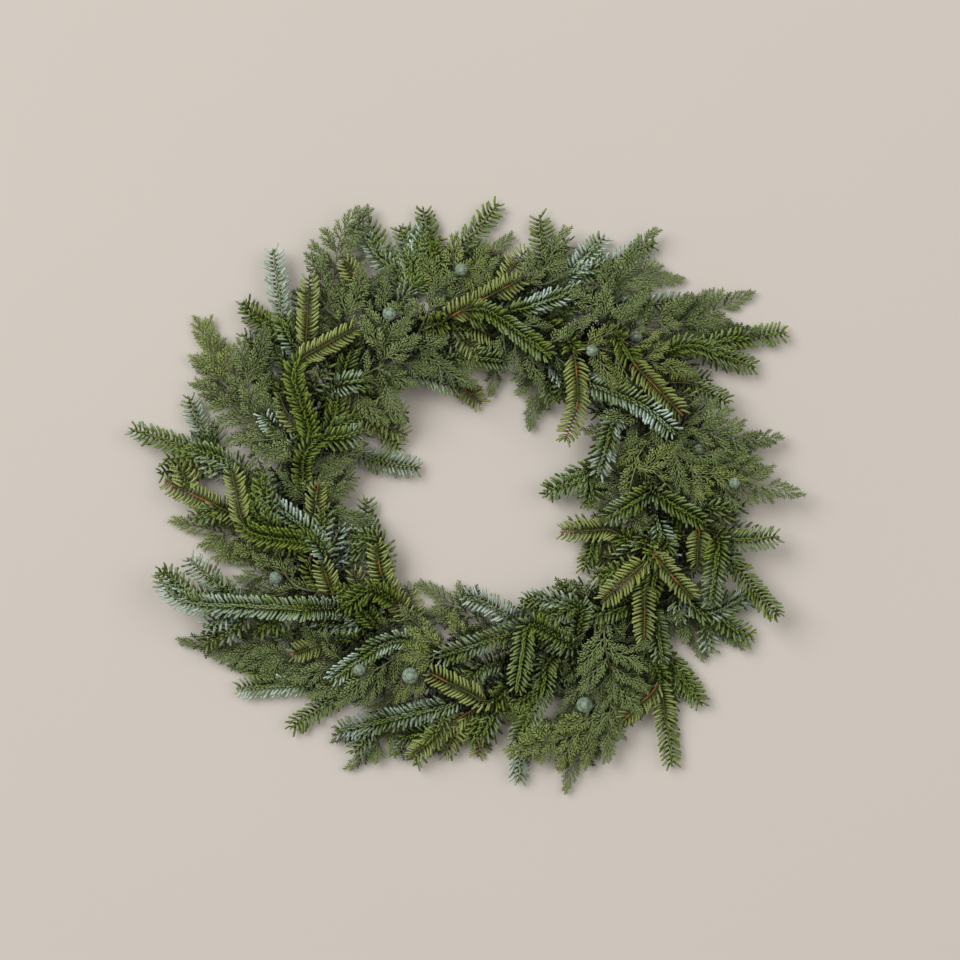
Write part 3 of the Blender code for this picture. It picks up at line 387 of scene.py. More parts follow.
def lead_twigs(twigs):
    """For each bough the twig that leads to the ring, its heel's angle and its lane.

    The heels are spread evenly round the ring, then swapped while that makes the stems lie better.
    """
    boughs = {}
    for twig in twigs:
        boughs.setdefault(twig.node, []).append(twig)
    order = sorted(boughs.values(), key=lambda bough: ring_angle(bough[0].leaves[0]))
    heels = [place * 360.0 / len(order) for place in range(len(order))]
    costs = [[bough_cost(bough, heel) for heel in heels] for bough in order]
    slots = list(range(len(order)))
    improved = True
    while improved:
        improved = False
        for one in range(len(order)):
            for two in range(one):
                now = costs[one][slots[one]] + costs[two][slots[two]]
                swapped = costs[one][slots[two]] + costs[two][slots[one]]
                if swapped < now - LEAST_GAIN:
                    slots[one], slots[two] = slots[two], slots[one]
                    improved = True
    leads = []
    for bough, slot in zip(order, slots):
        lead = min(bough, key=lambda twig: slot_cost(twig, heels[slot]))
        leads.append((lead, heels[slot], slot % len(LANES)))
    return leads


def lane_stem(heel, lane, length=LANE_LENGTH):
    """The bound part of a stem: along its lane on the ring from the heel's angle."""
    outwards, upwards = LANES[lane]
    span = ring_degrees(length)
    steps = range(LANE_STEPS + 1)
    return [on_ring(heel + span * step / LANE_STEPS, outwards, upwards) for step in steps]


def bridge(start, start_way, end, end_way, shift):
    """A bent run of stem between two points, pushed aside in its middle by a shift."""
    length = np.linalg.norm(end - start)
    count = max(2, round(length / STEM_STEP))
    points = []
    for step in range(1, count):
        t = step / count
        ease = t * t * (3 - 2 * t)
        leaving = t * (1 - t) ** 2 * length * BRIDGE_EASE
        arriving = t * t * (1 - t) * length * BRIDGE_EASE
        middle = math.sin(math.pi * t) ** 2
        spot = start + (end - start) * ease + start_way * leaving - end_way * arriving
        points.append(spot + shift * middle)
    return points


def unit(vector):
    """The vector at length one."""
    return vector / max(1e-9, np.linalg.norm(vector))


def side_shifts(start, end):
    """Ways to push a stem aside, the smallest first."""
    across = unit(np.cross(end - start, UPRIGHT))
    lifts = [np.array((0.0, 0.0, float(upwards))) for upwards in UPWARDS]
    shifts = [across * sideways + lift for sideways in SIDEWAYS for lift in lifts]
    return sorted(shifts, key=np.linalg.norm)


def clearance(points, radius, others):
    """The least gap between a run of stem and the centrelines of other nodes."""
    run = dense(points)
    gaps = np.linalg.norm(run[:, None] - others[None, :, :3], axis=2) - others[None, :, 3]
    return gaps.min() - radius


class Pile:
    """Every centreline laid so far, with its radius and node."""

    def __init__(self):
        self.rows = {}

    def add(self, node, points, radius):
        run = dense(points)
        sized = np.concatenate([run, np.full((len(run), 1), radius)], axis=1)
        self.rows.setdefault(node, []).append(sized)

    def others(self, node):
        """The centreline points of every node but this one."""
        rows = [row for name, group in self.rows.items() if name != node for row in group]
        return np.concatenate(rows)


def nearby(rows, start, end):
    """The rows within reach of a stem between two points."""
    middle = (start + end) / 2
    reach = np.linalg.norm(end - start) / 2 + NEARBY
    return rows[np.linalg.norm(rows[:, :3] - middle, axis=1) < reach]


def ring_way(point):
    """The clockwise direction along the ring beside a point."""
    turn = math.radians(ring_angle(point))
    return np.array((math.cos(turn), -math.sin(turn), 0.0))


def route(start, start_way, end, end_way, radius, others):
    """The straightest bridge that keeps clear, with its clearance."""
    close = nearby(others, start, end)
    best = (-99.0, [], 0.0)
    for shift in side_shifts(start, end):
        points = bridge(start, start_way, end, end_way, shift)
        if min(point[2] for point in points) < FLOOR_HEIGHT:
            continue
        gap = clearance([start] + points + [end], radius, close)
        if gap > best[0] + LEAST_GAIN:
            best = (gap, points, np.linalg.norm(shift))
        if gap > WANTED_GAP:
            break
    return best


def best_stem(starts, twig, radius, others):
    """The best stem from one of several starts to a twig's leafy part.

    A start is (its points, the way onward there, the way the stem leaves, what it costs more).
    """
    end = twig.leaves[0]
    end_way = unit(twig.leaves[1] - end)
    best = None
    for begun, onward, start_way, extra in starts:
        chord = end - begun[-1]
        turns = bend(onward, chord) + bend(chord, end_way)
        if best is not None and TURN_COST * turns - GAP_COST * WANTED_GAP + extra >= best[0]:
            continue
        gap, points, shift = route(begun[-1], start_way, end, end_way, radius, others)
        cost = shift + TURN_COST * turns - GAP_COST * min(gap, WANTED_GAP) + extra
        if best is None or cost < best[0]:
            best = (cost, begun + points)
    return best[1]


def lane_starts(heel, lane):
    """Where a lead's stem may leave the ring: at the end of a longer or shorter bound part."""
    for length in BOUND_LENGTHS:
        bound = lane_stem(heel, lane, length)
        outwards = LANE_FLARE * LANES[lane][0] * unit(bound[-1] - ring_middle(bound[-1]))
        way = unit(ring_way(bound[-1]) + outwards + np.array((0.0, 0.0, LANE_RISE)))
        yield bound, way, way, 0.0


def side_starts(lead, end):
    """Where a side stem may leave its bough's lead on the way to the side twig's base."""
    spine = lead.axis()[LANE_STEPS:-2]
    for first, second in zip(spine[:-1], spine[1:]):
        start = (first + second) / 2
        length = np.linalg.norm(end - start)
        if ROOT_RANGE[0] <= length <= ROOT_RANGE[1]:
            onward = unit(second - first)
            way = unit(onward + unit(end - start))
            yield [start], onward, way, LENGTH_COST * abs(length - ROOT_LENGTH)


def lay_stems(twigs, binding):
    """Give every twig its stem: the leads to the ring, the others to the bough's lead."""
    pile = Pile()
    pile.add("binding_wire", binding, BINDING_WIRE)
    pile.add("wire_ring", [on_ring(degrees) for degrees in range(0, 362, 4)], RING_WIRE)
    for twig in twigs:
        pile.add(twig.node, twig.leaves, TWIG_RADIUS[twig.kind])
    leads = lead_twigs(twigs)
    for twig, heel, lane in leads:
        twig.stem = lane_stem(heel, lane)
        twig.lane = lane
        pile.add(twig.node, twig.stem, STEM_RADIUS)
    for twig, heel, lane in leads:
        others = pile.others(twig.node)
        twig.stem = best_stem(lane_starts(heel, lane), twig, STEM_RADIUS, others)
        pile.add(twig.node, twig.stem[LANE_STEPS:] + twig.leaves[:1], STEM_RADIUS)
    lead_of = {twig.node: twig for twig, heel, lane in leads}
    for twig in twigs:
        if not twig.stem:
            twig.parent = lead_of[twig.node]
            radius = TWIG_RADIUS[twig.kind] + STALK_EXTRA
            starts = side_starts(twig.parent, twig.leaves[0])
            twig.stem = best_stem(starts, twig, radius, pile.others(twig.node))
            pile.add(twig.node, twig.stem + twig.leaves[:1], radius)
    return pile


def binding_path():
    """The binding wire's centreline: it crosses over the stems squarely and moves on below."""
    points = []
    for turn in range(BINDING_TURNS):
        for place, (outwards, upwards) in enumerate(BINDING_LOOP):
            share = place / len(BINDING_LOOP)
            ease = math.sin(2 * math.pi * share) / (2 * math.pi)
            onward = turn + share - BINDING_SQUARENESS * ease
            degrees = 360.0 * onward / BINDING_TURNS + ring_degrees(BINDING_LEAD)
            points.append(on_ring(degrees, outwards, upwards))
    return points


def butt_ways(twig):
    """The ways a stem's heel could bend down to the floor, each as its two lowest points."""
    side = 1.0 if LANES[twig.lane][0] > 0 else -1.0
    heel = ring_angle(twig.stem[0])
    for run in BUTT_RUNS:
        for reach in BUTT_REACHES:
            for share in BUTT_KNEES:
                foot = on_ring(heel - ring_degrees(run), side * reach, -RING_HEIGHT)
                knee_height = -RING_HEIGHT * (1.0 - share) * KNEE_DROP
                knee_angle = heel - ring_degrees(run * share)
                knee = on_ring(knee_angle, side * reach * KNEE_REACH, knee_height)
                yield [foot, knee]


def rest_on_butts(twigs, pile):
    """Bring the heels of three stems down to the floor, where they are sawn level."""
    leads = [twig for twig in twigs if twig.parent is None and twig.lane < 2]
    for wanted in BUTT_ANGLES:
        leads.sort(key=lambda twig: abs(ring_angle(twig.stem[0]) - wanted))
        best = None
        for twig in leads[:BUTT_CHOICE]:
            if twig.rests:
                continue
            others = pile.others(twig.node)
            for butt in butt_ways(twig):
                gap = clearance(butt + twig.stem[:1], STEM_RADIUS, others)
                if best is None or gap > best[0] + BUTT_GAIN:
                    best = (gap, twig, butt)
        gap, twig, butt = best
        twig.rests = True
        twig.stem = butt + twig.stem
        pile.add(twig.node, twig.stem[:3], STEM_RADIUS)


# Foliage, in millimetres; angles are in degrees. Stems first, then how low, high and steep
# foliage may reach.
PATH_STEP = 1.0
CURVE_STEPS = 8
RING_GAP = 3.0
STEM_SIDES = 6
# A stem's painted light, before its painted shade by depth
STEM_LIGHT = 0.85
OLD_BARK = 0.05
LOWEST = 1.5
HIGHEST = 63.0
STEEPEST = 0.95
FLOOR_CLEAR = 0.3
TALLEST = 67.0

# Each rank of fir needles: (hand, lift above the side in degrees, share of the full length), then
# all of them again on the other hand. A twig that shows its upper side has short needles over its
# stem; an olive one shows its stem.
UPPER_RANKS, LOWER_RANKS = [
    [(side * hand, lift, share) for side in (1, -1) for hand, lift, share in ranks]
    for ranks in (
        ((1, 4, 1.0), (-1, 58, 0.62), (-1, 30, 0.88), (1, 80, 0.5)),
        ((1, 3, 1.0), (-1, 22, 0.9), (1, 58, 0.42)),
    )
]

# One needle: its size, its width at shares of its length, and how far it bends
FIR_NEEDLE = 13.4
FIR_WIDTH = 2.4
FIR_THICKNESS = 0.65
NEEDLE_RINGS = ((0.0, 0.5), (0.42, 1.0), (0.88, 1.0), (1.0, 0.72))
NEEDLE_TURNS = (28.0, 44.0, 60.0)
FIR_RISE = 0.06

# Needles on a twig: the gaps between them, their sweep from the twig's way, which is less near its
# tip and for steep ones, their lengths towards the tip, the spread of sweep and lift, and how much
# their upper side faces up and outwards
UPPER_GAP = 0.55
LOWER_GAP = 0.68
SHOOT_SHARE = 1.35
FIR_SWEEP = 84.0
STEEP_LIFT = 50
STEEP_SWEEP = 48.0
FIR_TIP_SWEEP = 52.0
FIR_TIP_RUN = 7.0
FIR_TIP_EASE = 0.7
FIR_SHORT_RUN = 16.0
FIR_SHORTEST = (0.78, 0.22)
FIR_LENGTHS = (0.88, 1.08)
FIR_SPREAD = (6.0, 8.0)
FIR_FACING = (1.4, 0.2)
BASE_DEPTH = 0.6
OFTEN_SAME = 0.8

# Frost on needles, less away from the tip; bark colour, from old to bright; how a twig turns over
# to show its underside within a number of path points; and how thin its bare stem is
FIR_BLOOM = {"silver": 1.1, "green": 0.27, "olive": 0.06}
BLOOM_ENDS = (30.0, 90.0)
BLOOM_LEFT = (1.0, 0.5)
TWIG_BLOOMS = (0.55, 1.2)
NEEDLE_BLOOMS = (0.6, 1.1)
FIR_BARK = {"olive": 1.0, "green": 0.3, "silver": 0.2}
BRIGHT_BARKS = 0.55
PLAIN_BARK = 0.25
TURN_OVER = 11
BARE_SLIM = (0.75, 0.42, 0.62)
BARE_RUN = 1.2
# Knots where leaves start on a side twig, and the further bare ones of a stem that has a butt
SIDE_START = 0.6
BUTT_KNOTS = 2

# Tips of stems, each ring as (how far beyond the end, share of the radius), and random changes
FIR_BUD = ((0.0, 1.0), (1.0, 1.6), (2.2, 1.3), (3.2, 0.3))
PLAIN_TIP = ((0.0, 1.0), (1.5, 0.4))
ROLLS = {"fir": 14.0, "cypress": 12.0}
BARE_TIPS = {"fir": 0.6, "cypress": 1.0}
TWIG_TINT = 0.16
LEAF_TINT = 0.12
# Places along a leaf, as shares of its length, that mustn't lie over a cone
LEAF_REACHES = {"fir": (0.6, 0.9), "cypress": (0.3, 0.6, 0.9)}

# A cypress branchlet: half widths and tapers of its axis and its twiglets, then the twiglets'
# places and lengths as shares of the branchlet
CYPRESS_BRANCHLET = 17.0
BRANCHLET_KINDS = 4
TWIGLET_WIDTHS = (1.0, 0.95)
TWIGLET_TIPS = (0.75, 0.62)
TWIGLET_FLATNESS = 0.75
TWIGLET_RUN = (0.17, 0.9)
TWIGLET_STEPS = (0.115, 0.14)
TWIGLET_REACH = (0.42, 0.18)
TWIGLET_LENGTHS = (0.9, 1.15)
TWIGLET_ANGLES = (27.0, 35.0)
TWIGLET_LIFT = 0.25
CYPRESS_BEND = 0.007
CYPRESS_CURL = (0.01, 0.003)

# Branchlets on a cypress frond: wider apart where fans fill in, and closing towards its tip
CYPRESS_GAP = 3.3
FAN_SPARES = 2.2
CYPRESS_SWEEP = 42.0
CYPRESS_SPREAD = 8.0
CYPRESS_LIFTS = (-5.0, 9.0)
CYPRESS_TILT = 0.15
FROND_BARK = 0.9
FROND_TAPER = 50.0
FROND_CLOSING = (0.35, 30.0)
FROND_LENGTHS = (0.75, 1.1)
CYPRESS_YELLOW = {"grey": 0.15, "yellow": 0.85}
YELLOW_TINT = 0.15

# Fans: side shoots on both sides of a cypress frond, shorter towards its tip: a share of what is
# left of the frond, less a length
FAN_FIRST = 4
FAN_EVERY = 10
FAN_LEFT = 34.0
FAN_REACH = (0.5, 4.0)
FAN_LENGTHS = (15.0, 36.0)
FAN_ANGLES = (50.0, 34.0)

# Side shoots that fill the wreath: they stay in its body, or close beside a leafy twig, and are
# left out where the layers of foliage are already full
SHOOT_EVERY = 8
SHOOT_LEFT = 20
# Points from which a shoot has to lie in the body, and from which it is tested for full layers
SHOOT_ROOT = 10
SHOOT_THIN = 8
SHOOT_LOOK = 3
SHOOT_LENGTHS = {"fir": (30.0, 52.0), "cypress": (36.0, 66.0)}
SHOOT_ANGLES = (56.0, 22.0)
SHOOT_TURN = 10.0
SHOOT_SLOPES = {"fir": (-0.35, 0.0), "cypress": (-0.1, 0.25)}
SHOOT_EASE = (0.3, 0.7)
SHOOT_RADII = (0.8, 0.55)
SHOOT_LOOKS = ("green", "olive", "green")
SHOOT_HALF = 11.0
SHOOT_BESIDE = 12.0
SHOOT_FULL = {"fir": 2.9, "cypress": 2.2}
SHOOT_HEIGHTS = {"fir": (6.0, 40.0), "cypress": (8.0, 54.0)}
FIR_SEED, CYPRESS_SEED, SHOOT_SEED, FAN_SEED, SEED_STEP = 1000, 2000, 5000, 9000, 977

# Cover: cells of the plan, and the painted shade of foliage at a depth under the leaves above it
BODY = (130.0, 238.0)
PLAN_HALF = 360.0
CELL = 4.0
LEAF_CELL = 2.5
TOP_HALF = 6.0
CONE_CLEAR = 2.5
CONE_DEPTH = 2.0
STEM_DEPTHS = (2.0, 18.0)
LEAF_DEPTHS = {"fir": (3.0, 17.0), "cypress": (0.5, 7.0)}
PAINTED_SHADES = (1.0, 0.18)
LEAF_LIGHT = (0.82, 0.045)
# Painted shade is kept lighter towards the wreath's inner and outer edges, by distance from the
# hole's middle
DARKEST = ((135.0, 165.0, 205.0, 235.0), (0.4, 0.05, 0.05, 0.4))
DEEP_GAP = 0.5

# Cones: seam width and point width as angles, then the height of skin, scale and point
SEAM_ANGLE = 0.35
POINT_ANGLE = 0.14
SHIELD_HEIGHTS = (0.91, 0.08, 0.05)

# Picture, in metres: the sheet's side, the camera's height, the height in the wreath at which the
# camera sees the sheet's full side, and half the floor's side
SHEET_SIDE = 0.96
CAMERA_HEIGHT = 2.8
SHEET_HEIGHT = 0.03
FLOOR_HALF = 4.0
# Light: each soft light's place and watts, its side, and how bright the surroundings are
LIGHTS = {"window": ((-6.4, 4.6, 8.8), 1220.0), "panel": ((6.4, 1.6, 8.4), 345.0)}
LIGHT_SIZE = 8.0
SKY_STRENGTH = 0.27

# Kinds of nodes for add_node, with their settings and output
BLEND = ("ShaderNodeMix", {"data_type": "RGBA"}, 2)
EASE = ("ShaderNodeMapRange", {"interpolation_type": "SMOOTHSTEP"})
TIMES = ("ShaderNodeMath", {"operation": "MULTIPLY"})
PING_PONG = ("ShaderNodeMath", {"operation": "PINGPONG"})
TONE = ("ShaderNodeHueSaturation",)

Branch = namedtuple("Branch", "kind look points radii leafy first seed")


def linear(code):
    """A colour given as sRGB hex, as linear light."""
    parts = [int(code[place : place + 2], 16) / 255 for place in (1, 3, 5)]
    lit = [part / 12.92 if part <= 0.04045 else ((part + 0.055) / 1.055) ** 2.4 for part in parts]
    return (*lit, 1.0)


def add_node(tree, kind, settings=None, output=0, **inputs):
    """Add a node with its settings and return one of its outputs.

    Each input is a value, a colour in hex, or a socket that is linked to it; i0 is input 0.
    """
    node = tree.nodes.new(kind)
    for name, value in (settings or {}).items():
        setattr(node, name, value)
    for name, value in inputs.items():
        socket = node.inputs[int(name[1:]) if name[1:].isdigit() else name]
        if isinstance(value, bpy.types.NodeSocket):
            tree.links.new(value, socket)
        else:
            socket.default_value = linear(value) if isinstance(value, str) else value
    return node.outputs[output]


def start_material(name, roughness, **values):
    """A material with a Principled shader; returns it with its tree."""
    material = bpy.data.materials.new(name)
    material.use_nodes = True
    shader = material.node_tree.nodes["Principled BSDF"]
    shader.inputs["Roughness"].default_value = roughness
    for key, value in values.items():
        shader.inputs[key.replace("_", " ")].default_value = value
    return material, material.node_tree


def finish_material(material, base, heights=None, strength=0.0, depth=0.0):
    """Give a material its colour, and bumps where it has heights, which are this deep."""
    tree = material.node_tree
    shader = tree.nodes["Principled BSDF"]
    tree.links.new(base, shader.inputs["Base Color"])
    if heights is not None:
        sizes = {"Strength": strength, "Distance": depth * MM}
        bump = add_node(tree, "ShaderNodeBump", Height=heights, **sizes)
        tree.links.new(bump, shader.inputs["Normal"])
    return material


def leaf_parts(tree):
    """What the leaf attribute holds: along, underside, shade (painted shade with a random tint) and
    bloom.
    """
    leaf = add_node(tree, "ShaderNodeAttribute", {"attribute_name": "leaf"}, "Color")
    parts = add_node(tree, "ShaderNodeSeparateColor", i0=leaf).node.outputs
    return parts[0], parts[1], parts[2], leaf.node.outputs["Alpha"]


def mottle(tree, size):
    """A soft noise whose patches are about this many millimetres across."""
    place = add_node(tree, "ShaderNodeTexCoord", output="Object")
    return add_node(tree, "ShaderNodeTexNoise", i0=place, Scale=1.0 / (size * MM), Detail=2.0)


def with_painted_shade(tree, colour, shade, low, high):
    """Painted shade: a colour made darker or lighter by a shade from 0 to 1."""
    value = add_node(tree, *EASE, i0=shade, i3=low, i4=high)
    return add_node(tree, *TONE, Value=value, Color=colour)


def fir_needle_material():
    """Waxy fir needles: deep green above, sage below with pale bands, and a blue-white bloom."""
    material, tree = start_material("fir_needle_wax", 0.5, Specular_IOR_Level=0.14)
    along, side, shade, bloom = leaf_parts(tree)
    # Darker towards the needle's base: partly its own colour, partly painted shade near the stem
    above = add_node(tree, *BLEND, i0=along, i6="#2f3c0a", i7="#708431")
    band = add_node(tree, *EASE, i0=add_node(tree, *PING_PONG, i0=side, i1=0.5), i1=0.1, i2=0.4)
    below = add_node(tree, *BLEND, i0=band, i6="#5c6725", i7="#99a261")
    # The underside too is darker at its base, partly painted shade
    outer = add_node(tree, *EASE, i0=along, i2=0.6)
    below = add_node(tree, *BLEND, i0=outer, i6="#353f12", i7=below)
    under = add_node(tree, *EASE, i0=side, i1=0.02, i2=0.12)
    base = add_node(tree, *BLEND, i0=under, i6=above, i7=below)
    # The frost covers a needle's outer part, in patches that are two or three needles long.
    tip = add_node(tree, *EASE, i0=along, i1=0.1, i2=0.6)
    frost = add_node(tree, *TIMES, i0=tip, i1=bloom)
    patchy = add_node(tree, *EASE, i0=mottle(tree, 32.0), i1=0.4, i2=0.54, i3=0.2)
    frost = add_node(tree, *TIMES, i0=frost, i1=patchy)
    base = add_node(tree, *BLEND, i0=frost, i6=base, i7="#b2c6bc")
    # Painted shade: needles are darkened by how deep they lie under the leaves above
    return finish_material(material, with_painted_shade(tree, base, shade, 0.02, 1.52))


def bark_material(name, young, old):
    """Thin bark, smooth and coloured on young shoots and duller on old ones, with fine bumps."""
    material, tree = start_material(name, 0.65, Specular_IOR_Level=0.3)
    shade, bloom = leaf_parts(tree)[2:]
    # Pores, drawn 2.5 mm wide so that they show, and stretches of young bark 16 mm long
    spots = mottle(tree, 2.5)
    stretch = add_node(tree, *EASE, i0=mottle(tree, 16.0), i1=0.48, i2=0.6)
    fresh = add_node(tree, *TIMES, i0=stretch, i1=bloom)
    base = add_node(tree, *BLEND, i0=fresh, i6=old, i7=young)
    clear = add_node(tree, *EASE, i0=spots, i1=0.35, i2=0.7)
    dark = add_node(tree, *TONE, Value=0.62, Color=base)
    base = add_node(tree, *BLEND, i0=clear, i6=dark, i7=base)
    # Painted shade: bark is darkened where the stem lies deep under others
    return finish_material(material, with_painted_shade(tree, base, shade, 0.4, 1.2), spots, 0.5, 0.3)


def cypress_leaf_material():
    """Matt scale leaves, pressed to the twig like fine braid, with paler tips."""
    material, tree = start_material("cypress_scale_leaf", 0.7, Specular_IOR_Level=0.1)
    along, side, shade, bloom = leaf_parts(tree)
    paler = add_node(tree, *EASE, i0=along, i1=0.1)
    grey = add_node(tree, *BLEND, i0=paler, i6="#2c3916", i7="#7c8d5c")
    yellow = add_node(tree, *BLEND, i0=paler, i6="#434f1b", i7="#8e9a58")
    base = add_node(tree, *BLEND, i0=bloom, i6=grey, i7=yellow)
    stalk = add_node(tree, *TIMES, i0=side, i1=0.55)
    base = add_node(tree, *BLEND, i0=stalk, i6=base, i7="#8e9d6f")
    # Scale leaves are about 1.6 mm long, which just shows.
    scales = mottle(tree, 1.6)
    clear = add_node(tree, *EASE, i0=scales, i1=0.36, i2=0.56)
    dark = add_node(tree, *TONE, Value=0.75, Color=base)
    base = add_node(tree, *BLEND, i0=clear, i6=dark, i7=base)
    # Painted shade: scale leaves are darkened by how deep they lie under the leaves above
    return finish_material(material, with_painted_shade(tree, base, shade, 0.02, 1.52), scales, 0.6, 0.4)


def cone_material():
    """Unripe cypress cones: green skin under a chalky grey-green bloom, rubbed off in the seams."""
    material, tree = start_material("cone_bloom", 0.85, Specular_IOR_Level=0.25)
    # The bloom is rubbed in patches of 3 mm, and the skin is grained at 0.8 mm.
    chalky = add_node(tree, *EASE, i0=mottle(tree, 3.0), i1=0.35, i2=0.65)
    chalk = add_node(tree, *BLEND, i0=chalky, i6="#74846f", i7="#93a697")
    whole = add_node(tree, *EASE, i0=leaf_parts(tree)[0], i2=0.6)
    base = add_node(tree, *BLEND, i0=whole, i6="#586650", i7=chalk)
    return finish_material(material, base, mottle(tree, 0.8), 0.3, 0.3)


def wire_material(name, colour, rough):
    """Steel wire in green enamel, a little worn."""
    material, tree = start_material(name, rough, Metallic=0.0, IOR=1.5)
    # Enamel rubs off in spots of a few millimetres where the wire was bent.
    worn = add_node(tree, *EASE, i0=mottle(tree, 6.0), i1=0.62, i2=0.72)
    return finish_material(material, add_node(tree, *BLEND, i0=worn, i6=colour, i7="#6f6b60"))


def floor_material():
    """A matt painted board in pale beige."""
    material, tree = start_material("painted_board", 0.85)
    # Brushed paint varies a little over the width of a brush's reach, 700 mm.
    base = add_node(tree, *BLEND, i0=mottle(tree, 700.0), i6="#cbc5bd", i7="#cec8c0")
    return finish_material(material, base)


def tube(rings, sides):
    """A closed tube of a number of rings, one above the other, one apart."""
    bm = bmesh.new()
    bmesh.ops.create_circle(bm, cap_ends=True, segments=sides, radius=1.0)
    bm.faces.ensure_lookup_table()
    cap = bm.faces[0]
    # The first cap stays as the tube's end; the later ones would be walls inside it.
    for ring in range(1, rings):
        result = bmesh.ops.extrude_face_region(bm, geom=[cap])
        if ring > 1:
            bmesh.ops.delete(bm, geom=[cap], context="FACES_ONLY")
        cap = next(item for item in result["geom"] if isinstance(item, bmesh.types.BMFace))
        bmesh.ops.translate(bm, vec=(0.0, 0.0, 1.0), verts=cap.verts[:])
    bmesh.ops.recalc_face_normals(bm, faces=bm.faces[:])
    return bm


def fir_needle(turn):
    """A flat blunt fir needle, one long, with a keel below, that turns to its side by degrees."""
    bm = tube(len(NEEDLE_RINGS), 3)
    leaf = bm.verts.layers.float_color.new("leaf")
    turn = math.radians(turn)
    for vert in bm.verts:
        along, width = NEEDLE_RINGS[round(vert.co.z)]
        sideways = vert.co.x / math.sin(math.radians(60.0)) * width * FIR_WIDTH / 2 / FIR_NEEDLE
        upwards = -vert.co.y * 2 / 3 * width * FIR_THICKNESS / FIR_NEEDLE
        vert[leaf] = (along, 0.0 if vert.co.y < 0.0 else 1.0, 0.5, 0.5)
        heading = turn * along
        middle = (math.sin(heading) / turn, (1.0 - math.cos(heading)) / turn)
        vert.co = (
            middle[0] - math.sin(heading) * sideways,
            middle[1] + math.cos(heading) * sideways,
            upwards + FIR_RISE * along**2,
        )
    bmesh.ops.recalc_face_normals(bm, faces=bm.faces[:])
    return template("fir_needle", bm)


def template(name, bm):
    """Keep a shape as a smooth mesh, a piece's own or one to be copied many times."""
    for face in bm.faces:
        face.smooth = True
    mesh = bpy.data.meshes.new(name)
    bm.to_mesh(mesh)
    bm.free()
    return mesh


def add_twiglet(bm, leaf, start, degrees, length, width, tip, axis):
    """A thin scale-leaved twiglet of a cypress branchlet, from its start at an angle."""
    sizes = {"segments": 3, "radius1": width, "radius2": width * tip, "depth": length}
    verts = bmesh.ops.create_cone(bm, cap_ends=True, **sizes)["verts"]
    for vert in verts:
        share = vert.co.z / length + 0.5
        vert[leaf] = (0.25 + 0.75 * share, axis, 0.5, 0.5)
        vert.co = (vert.co.z + length / 2, vert.co.x, vert.co.y * TWIGLET_FLATNESS)
    turn = Matrix.Rotation(math.radians(degrees), 4, "Z")
    bmesh.ops.transform(bm, matrix=Matrix.Translation(start) @ turn, verts=verts)


def cypress_branchlet(seed, hand):
    """A flat feathery branchlet: an axis with twiglets on both sides, bent to one hand."""
    rng = random.Random(seed)
    bm = bmesh.new()
    leaf = bm.verts.layers.float_color.new("leaf")
    length = CYPRESS_BRANCHLET
    width, narrower = TWIGLET_WIDTHS
    add_twiglet(bm, leaf, (0.0, 0.0, 0.0), 0.0, length, width, TWIGLET_TIPS[0], 1.0)
    side = 1 if seed % 2 else -1
    place, last = TWIGLET_RUN
    while place < last:
        reach = length * (TWIGLET_REACH[0] - TWIGLET_REACH[1] * place)
        reach *= rng.uniform(*TWIGLET_LENGTHS)
        angle = rng.uniform(*TWIGLET_ANGLES)
        start = (place * length, 0.0, rng.uniform(-TWIGLET_LIFT, TWIGLET_LIFT))
        add_twiglet(bm, leaf, start, side * angle, reach, narrower, TWIGLET_TIPS[1], 0.0)
        side = -side
        place += rng.uniform(*TWIGLET_STEPS)
    for vert in bm.verts:
        vert.co.y += hand * CYPRESS_BEND * vert.co.x**2
        vert.co.z += CYPRESS_CURL[0] * vert.co.x * abs(vert.co.y) - CYPRESS_CURL[1] * vert.co.x**2
    bmesh.ops.recalc_face_normals(bm, faces=bm.faces[:])
    return template("cypress_branchlet", bm)


